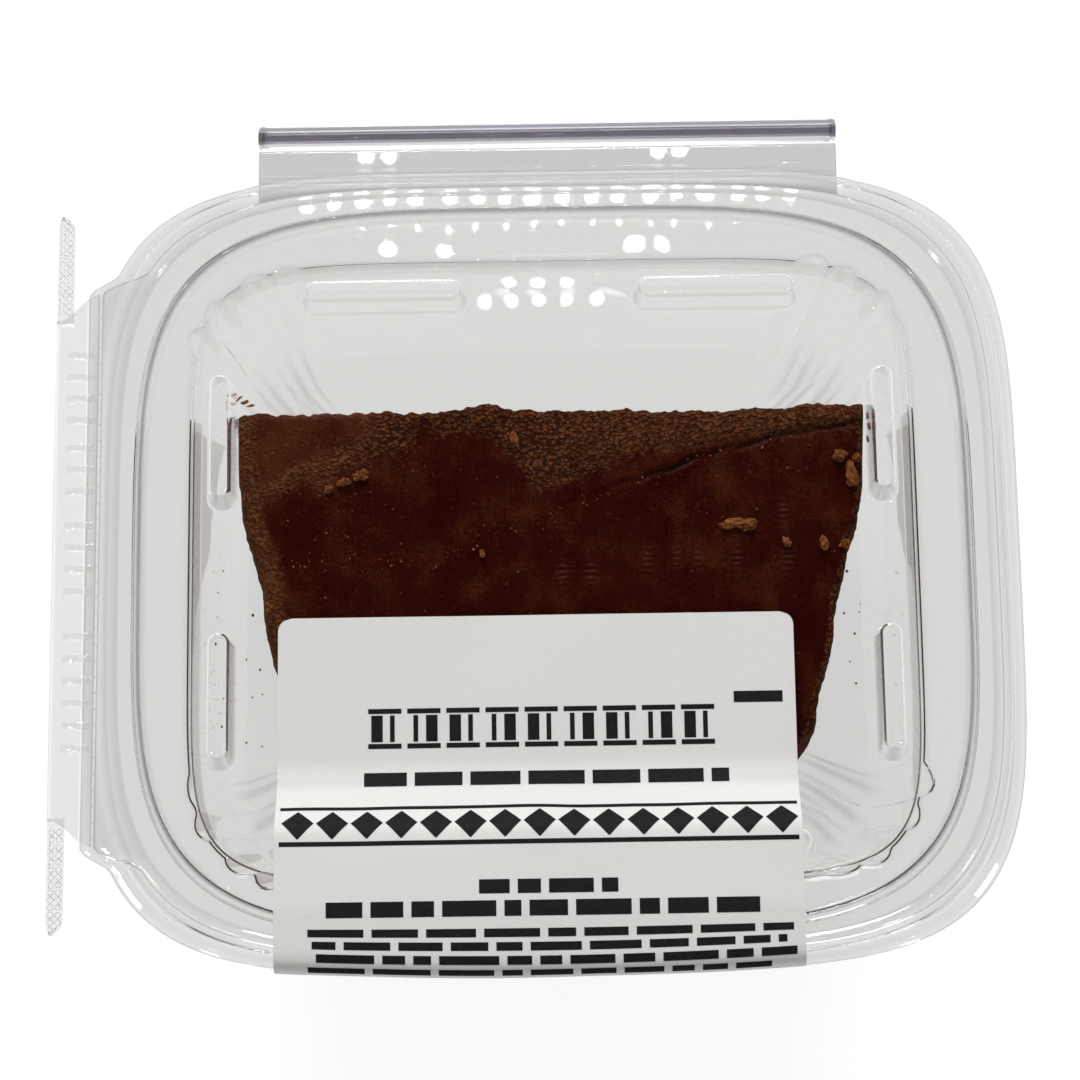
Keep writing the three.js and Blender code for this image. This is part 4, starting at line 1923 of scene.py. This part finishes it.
            # The third value says where the painted highlight goes, and the crack value where painted shade
            # goes.
            vert[value], vert[haze], vert[painted_glint_mask] = porous, hazy, self.shine(place)
            vert[crack] = self.split(place, 0.3)
            vert.co = place
        self.draw_sides(bm, value)
        Workshop.face_up(bm)
        bmesh.ops.recalc_face_normals(bm, faces=bm.faces)
        Workshop.piece("fudge_slab", bm, self.fudge, Body.BASE, Slot.FUDGE, ["fudge"], sharp=80.0)

    @staticmethod
    def edge_drop(distance: float, width: float, depth: float) -> float:
        """How far a rounded edge falls.

        Args:
            distance: The distance from the edge.
            width: How wide the rounding is.
            depth: How far it falls at the edge.

        Returns:
            The fall in millimetres.
        """
        if distance >= width:
            return 0.0
        t = 1 - max(distance, 0.0) / width
        return depth * (1 - math.sqrt(max(1 - t * t, 0.0)))

    def draw_sides(self, bm: BMesh, value: bmesh.types.BMLayerItem) -> None:
        """Draw the sides down from the top's edge and close the underside.

        Args:
            bm: The slab's mesh.
            value: The layer that says how porous it is.
        """
        edges = [e for e in bm.edges if len(e.link_faces) == 1]
        origin = bm.verts.layers.int["origin"]
        anchors = []
        for vert in {v for e in edges for v in e.verts}:
            vert[origin] = len(anchors)
            anchors.append(vert.co.copy())
        for row in range(1, self.side_rows + 1):
            verts, edges = Workshop.extrude(bm, edges)
            for vert in verts:
                vert.co = self.side_point(anchors[vert[origin]], row / self.side_rows)
                vert[value] = self.side_porous
        bmesh.ops.contextual_create(bm, geom=edges)

    def side_point(self, anchor: Vector, share: float) -> Vector:
        """A point of the side, kept inside the tub.

        Args:
            anchor: The point of the top's edge above it.
            share: How far down it is, from 0 to 1.

        Returns:
            The point.
        """
        floor = self.height(anchor.y) - self.thick
        z = anchor.z + (floor - anchor.z) * share
        middle = Vector((0, -4.0, 0))
        out = Vector((anchor.x, anchor.y, 0)) - middle
        out.normalize()
        place = Vector((anchor.x, anchor.y, z))
        swell = 0.15 * math.sin(math.pi * min(share * 1.4, 1.0)) - 1.4 * smoothstep(0.86, 1.0, share)
        rough = 0.22 * grain(place, 3.5, 2.0) + 0.3 * grain(place, 1.1, 8.0) - self.pits(place)
        place += out * (swell + rough * math.sin(math.pi * min(share * 1.2, 1.0)))
        return Cavity.keep(place)


class Cavity:
    """The room inside the tub, as half sizes, squareness and height of its levels."""

    LEVELS = (
        (37.4, 30.6, 3.4, 0.9),
        (47.9, 41.1, 4.4, 9.4),
        (49.8, 43.1, 5.0, 15.0),
        (53.4, 47.0, 6.4, 34.0),
    )

    @classmethod
    def ring_at(cls, z: float) -> tuple[float, float, float]:
        """The room at a height.

        Args:
            z: The height.

        Returns:
            Its half sizes and squareness.
        """
        levels = cls.LEVELS
        if z <= levels[0][3]:
            return levels[0][:3]
        for low, high in zip(levels, levels[1:]):
            if z <= high[3]:
                t = (z - low[3]) / (high[3] - low[3])
                return tuple(p + (q - p) * t for p, q in zip(low[:3], high[:3]))
        return levels[-1][:3]

    @classmethod
    def keep(cls, place: Vector) -> Vector:
        """Keep a place in the room.

        Args:
            place: The place.

        Returns:
            The place, moved in where it was outside.
        """
        a, b, n = cls.ring_at(place.z)
        depth = (abs(place.x) / a) ** n + (abs(place.y) / b) ** n
        if depth <= 1:
            return place
        pull = depth ** (-1 / n)
        return Vector((place.x * pull, place.y * pull, place.z))


# ---- crumbs -----------------------------------------------------------------------------------------


@dataclass
class Crumbs:
    """Loose crumbs on the slab's face and round its foot, and smears of fudge under the lid.

    A large crumb is its place, two sizes and its turn.
    """

    LARGE = (
        (27.6, 7.2, 2.3, 0.75, 0.08),
        (29.2, 7.0, 1.2, 0.8, 0.3),
        (34.9, 4.3, 0.55, 0.8, 0.6),
        (40.5, 3.9, 0.6, 1.05, 0.2),
        (43.6, 4.0, 0.75, 0.7, 0.1),
        (44.9, 14.5, 0.8, 1.9, 0.1),
        (43.2, 17.4, 1.0, 0.9, 0.2),
        (45.8, 17.0, 0.6, 0.6, 0.9),
        (-28.7, 15.4, 1.0, 0.75, 0.4),
        (-33.5, 13.4, 0.7, 0.5, 0.7),
        (-31.2, 14.4, 0.9, 0.6, 0.2),
        (-10.6, 3.2, 0.35, 0.65, 0.2),
        (-42.6, -4.6, 0.45, 0.95, 0.2),
        (-5.6, 20.6, 0.5, 1.2, 0.2),
    )
    SMEARS = (
        (-48.0, 28.0, 0.5, 0.22, 0.5),
        (-47.1, 27.4, 0.7, 0.2, 0.6),
        (-46.1, 26.8, 0.6, 0.25, 0.4),
        (-45.2, 26.3, 0.5, 0.18, 0.2),
        (-48.6, 26.3, 0.2, 0.8, 0.1),
        (-48.4, 23.9, 0.18, 0.6, 0.0),
        (47.7, 23.2, 0.2, 0.5, 0.1),
        (47.9, 21.6, 0.22, 0.6, 0.0),
        (47.6, 19.6, 0.2, 0.5, 0.2),
    )

    material: bpy.types.Material
    slab: FudgeSlab
    seed: int = 41
    small: int = 420
    in_foot: int = 16
    on_wall: int = 14
    foot: float = 9.6
    panel: float = 31.6
    smear_height: float = 0.07

    def crumb(
        self, bm: BMesh, at: Vector, size: Vector, turn: float, draw: random.Random, detail: int = 2
    ) -> None:
        """One uneven crumb.

        Args:
            bm: The crumbs' mesh.
            at: Its middle.
            size: Its half sizes.
            turn: How far it is turned, in radians.
            draw: The source of its lumps.
            detail: How finely it is divided.
        """
        made = bmesh.ops.create_icosphere(bm, subdivisions=detail, radius=1.0)
        shift = Vector((draw.uniform(-9, 9), draw.uniform(-9, 9), draw.uniform(-9, 9)))
        for vert in made["verts"]:
            place = vert.co.normalized()
            lump = 1 + 0.5 * noise.noise(place * 1.6 + shift) + 0.36 * noise.noise(place * 3.6 + shift)
            lump += 0.16 * noise.noise(place * 8.0 + shift) if detail > 2 else 0.0
            vert.co = place * lump
        place = Matrix.Translation(at) @ Matrix.Rotation(turn, 4, "Z") @ Matrix.Diagonal((*size, 1))
        bmesh.ops.transform(bm, matrix=place, verts=made["verts"])

    def on_face(self, y: float) -> float:
        """Height of the slab's face."""
        return min(self.slab.height(y) + 0.25, 31.0)

    def spot(self, index: int, draw: random.Random) -> tuple[float, float]:
        """Where a small crumb lies: anywhere, at the left, or along the crack or the crust.

        Args:
            index: The crumb's number.
            draw: The source of its place.

        Returns:
            Its place along X and Y.
        """
        x, y = draw.uniform(-44, 42), draw.uniform(-34, 21)
        group = index % 6
        if group == 1:
            return draw.gauss(-34, 6), draw.gauss(12, 3.5)
        if group in (2, 3):
            return x, track(self.slab.crack, x) + draw.gauss(-0.4, 0.7)
        if group == 4:
            return x, self.slab.crust_line(x) + draw.gauss(-1.2, 1.1)
        return x, y

    def on_slab(self, draw: random.Random) -> None:
        """Crumbs on the face: a few large ones, then many small.

        Args:
            draw: The source of their places and shapes.
        """
        bm = bmesh.new()
        for x, y, long, wide, turn in self.LARGE:
            size = Vector((long, wide, min(long, wide) * 0.75))
            self.crumb(bm, Vector((x, y, self.on_face(y) + 0.1)), size, turn, draw, 4)
        for index in range(self.small):
            x, y = self.spot(index, draw)
            if not track(self.slab.left_side, y) + 3 < x < track(self.slab.right_side, y) - 1:
                continue
            radius = 0.07 + 0.15 * draw.random() ** 3
            size = Vector((radius, radius * draw.uniform(0.6, 1.2), radius * 0.7))
            self.crumb(bm, Vector((x, y, self.on_face(y) - 0.05)), size, draw.uniform(0, 3), draw, 1)
        Workshop.piece("crumbs_on_fudge", bm, self.material, Body.BASE, Slot.FUDGE)

    def on_tub(self, draw: random.Random) -> None:
        """Small crumbs in the tub's foot and on its left wall.

        Args:
            draw: The source of their places and shapes.
        """
        bm = bmesh.new()
        for _ in range(self.in_foot):
            side = draw.choice((-1, -1, 1))
            x = side * draw.uniform(44.5, 47.5)
            y = draw.uniform(-26, 8)
            radius = draw.uniform(0.1, 0.32)
            spot = Cavity.keep(Vector((x, y, self.foot)))
            self.crumb(bm, spot, Vector((radius, radius, radius * 0.8)), 0.0, draw, 1)
        for _ in range(self.on_wall):
            z = draw.uniform(17, 31)
            half, _, _ = Cavity.ring_at(z)
            radius = draw.uniform(0.1, 0.26)
            spot = Vector((-half + radius, draw.uniform(-30, 6), z))
            self.crumb(bm, spot, Vector((radius * 0.6, radius, radius)), 0.0, draw, 1)
        Workshop.piece("crumbs_in_tub", bm, self.material, Body.BASE, Slot.FUDGE)

    def on_lid(self, draw: random.Random) -> None:
        """Thin smears under the lid's panel, beside the slab's rear corners.

        Args:
            draw: The source of their shapes.
        """
        bm = bmesh.new()
        for x, y, long, wide, turn in self.SMEARS:
            size = Vector((long, wide, self.smear_height))
            self.crumb(bm, Vector((x, y, self.panel)), size, turn, draw, 3)
        Workshop.piece("smears_on_lid", bm, self.material, Body.LID, Slot.FUDGE)

    def build(self) -> None:
        """Scatter all of them from one source."""
        draw = random.Random(self.seed)
        self.on_slab(draw)
        self.on_tub(draw)
        self.on_lid(draw)


# ---- studio -----------------------------------------------------------------------------------------


@dataclass
class Studio:
    """Floor, lamps, world and camera. Lengths here are in metres, apart from the camera's."""

    CYCLES = {
        "use_denoising": True,
        "caustics_reflective": False,
        "caustics_refractive": False,
        "max_bounces": 10,
        "transmission_bounces": 10,
        "transparent_max_bounces": 24,
        "glossy_bounces": 7,
        "diffuse_bounces": 1,
        "light_sampling_threshold": 0.05,
    }

    distance: float = 560.0
    elevation: float = 75.0
    aim: float = 38.0
    roll: float = 0.87
    lens: float = 126.93
    centre_px: tuple[float, float] = (553.5, 559.0)
    frame_px: float = 1080.0
    sky_levels: tuple[tuple[float, float], ...] = ((0.0, 0.30), (0.2, 0.40), (0.45, 0.55), (0.7, 0.58))
    patch_levels: tuple[tuple[float, float], ...] = ((0.936, 1.0), (0.968, 0.01))
    patch_rise: float = 78.0
    lamp_height: float = 1.232
    lamp_pitch: float = 0.0139
    lamp_glow: float = 85.0

    def floor(self) -> None:
        """A plain pale floor, which glows a little so that shadows stay faint."""
        bm = bmesh.new()
        bmesh.ops.create_grid(bm, x_segments=1, y_segments=1, size=6.0)
        shader = Shader("pale_floor")
        clouds = shader.noise(shader.coordinates(), 3.0, 2.0)
        body = shader.surface(shader.mix(clouds, (0.11, 0.11, 0.11), (0.10, 0.10, 0.10)), 0.9, 0.1)
        body.inputs["Emission Color"].default_value = (1.0, 1.0, 1.0, 1.0)
        body.inputs["Emission Strength"].default_value = 0.90
        shader.material.cycles.emission_sampling = "NONE"
        item = Workshop.mesh("floor", bm, shader.material)
        item.location = (0, 0, -0.0002)

    def world(self) -> None:
        """Even light from above, dim low down, and a dark patch where the flat film mirrors the ceiling."""
        world = bpy.data.worlds.new("studio")
        bpy.context.scene.world = world
        world.use_nodes = True
        nodes = Nodes(world.node_tree)
        place = nodes.node("ShaderNodeTexCoord")
        split = nodes.node("ShaderNodeSeparateXYZ")
        nodes.link(place.outputs["Generated"], split.inputs[0])
        rise = math.radians(self.patch_rise)
        towards = nodes.node("ShaderNodeVectorMath", operation="DOT_PRODUCT")
        nodes.link(place.outputs["Generated"], towards.inputs[0])
        towards.inputs[1].default_value = (0.0, math.cos(rise), math.sin(rise))
        sky = nodes.ramp(split.outputs["Z"], self.sky_levels)
        patch = nodes.ramp(towards.outputs["Value"], self.patch_levels)
        back = nodes.node("ShaderNodeBackground")
        out = nodes.node("ShaderNodeOutputWorld")
        nodes.link(nodes.times(sky, patch), back.inputs["Strength"])
        back.inputs["Color"].default_value = (1.0, 0.995, 0.985, 1.0)
        nodes.link(back.outputs[0], out.inputs["Surface"])

    def rear_key(self) -> None:
        """The one soft square lamp, high behind the pack."""
        place = Vector((-0.1, 1.26, 0.96))
        data = bpy.data.lights.new("rear_key", "AREA")
        data.size = 0.45
        data.energy = 28.0
        item = bpy.data.objects.new("rear_key", data)
        item.location = place
        item.rotation_mode = "QUATERNION"
        item.rotation_quaternion = (-place).to_track_quat("-Z", "Y")
        bpy.context.scene.collection.objects.link(item)

    def lamps(self) -> list[tuple[float, float, float]]:
        """The small lamps overhead.

        Returns:
            The place along X and Y and the radius of each.
        """
        spots = [((column - 8.5) * self.lamp_pitch, 0.500, 0.0034) for column in range(18)]
        spots += [((column - 6.5) * self.lamp_pitch, 0.4885, 0.0011) for column in range(14)]
        spots += [(side * 0.36, 0.05, 0.035) for side in (-1, 1)]
        spots += [(side * 0.30, -0.25, 0.03) for side in (-1, 0, 1)]
        spots += [(x, 0.4605, 0.0027) for x in (-0.0186, -0.0048, 0.0090)]
        spots += [(x, 0.4515, 0.0027) for x in (-0.0315, -0.0181, -0.0045, 0.0090, 0.0228)]
        spots += [(x, 0.477, 0.0038) for x in (-0.078, -0.051, 0.041, 0.054)]
        return spots + [(x, 0.526, 0.0042) for x in (-0.089, -0.076, 0.053, 0.065)]

    def dots(self) -> None:
        """Rows of small bright lamps overhead, which the film mirrors at its rear."""
        bm = bmesh.new()
        for x, y, radius in self.lamps():
            made = bmesh.ops.create_circle(bm, cap_ends=True, segments=12, radius=radius)
            bmesh.ops.translate(bm, vec=(x, y, self.lamp_height), verts=made["verts"])
        shader = Shader("lamp_dots")
        glow = shader.node("ShaderNodeEmission")
        glow.inputs["Strength"].default_value = self.lamp_glow
        shader.link(glow.outputs[0], shader.output.inputs["Surface"])
        shader.material.cycles.emission_sampling = "NONE"
        item = Workshop.mesh("lamp_dots", bm, shader.material)
        item.visible_shadow = False
        item.visible_diffuse = False

    def camera(self) -> None:
        """The camera, at the view that the pack is seen from."""
        data = bpy.data.cameras.new("camera")
        data.lens = self.lens
        data.sensor_width = 36.0
        data.shift_x = -(self.centre_px[0] - self.frame_px / 2) / self.frame_px
        data.shift_y = (self.centre_px[1] - self.frame_px / 2) / self.frame_px
        data.clip_start, data.clip_end = 0.01, 20.0
        item = bpy.data.objects.new("camera", data)
        rise = math.radians(self.elevation)
        target = Vector((0, 0, self.aim * MM))
        back = Vector((0, -math.cos(rise), math.sin(rise)))
        item.location = target + back * self.distance * MM
        item.rotation_mode = "QUATERNION"
        look = (-back).to_track_quat("-Z", "Y").to_matrix().to_4x4()
        item.rotation_quaternion = (look @ Matrix.Rotation(-math.radians(self.roll), 4, "Z")).to_quaternion()
        bpy.context.scene.collection.objects.link(item)
        bpy.context.scene.camera = item

    def build(self) -> None:
        """Set the stage."""
        self.camera()
        self.floor()
        self.world()
        self.rear_key()
        self.dots()
        scene = bpy.context.scene
        scene.view_settings.view_transform = "Standard"
        scene.view_settings.look = "None"
        for name, value in self.CYCLES.items():
            setattr(scene.cycles, name, value)


# ---- the pack ---------------------------------------------------------------------------------------


class PackFilm(Enum):
    """The films of the pack, each as grey as the layers that lie over each other there."""

    LID = ClearFilm(paints_shade=True)
    TUB = ClearFilm(name="tub_clear_film", tint=(0.775, 0.775, 0.765), paints_shade=True)
    # The fold's dark purple-grey shade tint is a painted reflection of the dark surroundings in the curved
    # fold.
    FOLD = ClearFilm(
        name="folded_film",
        tint=(0.82, 0.81, 0.82),
        shade_tint=(0.36, 0.345, 0.385),
        index=1.22,
        roughness=0.2,
        paints_shade=True,
    )
    STRIP = ClearFilm(name="strip_film", tint=(0.92, 0.92, 0.915), paints_shade=True)
    TABS = ClearFilm(name="tab_film", tint=(0.84, 0.84, 0.835))


def main() -> None:
    """Build every piece in order."""
    logging.basicConfig(level=logging.INFO, format="%(name)s %(message)s")
    Studio().build()
    film = {kind: kind.value.make() for kind in PackFilm}
    tub, lid = Tub(film[PackFilm.TUB]), Lid(film[PackFilm.LID])
    outline = PackOutline(fixed_rings=(tub.rings()[-1], lid.rings()[-1]))
    tub.build(outline)
    lid.build(outline)
    HingeRoll(film[PackFilm.FOLD]).build()
    TearStrip(film[PackFilm.STRIP], film[PackFilm.TABS]).build()
    Label(LabelPaper().make(), PrintInk().make()).build()
    slab = FudgeSlab(ChocolateFudge().make())
    slab.build()
    Crumbs(FudgeCrumb().make(), slab).build()


if __name__ == "__main__":
    main()
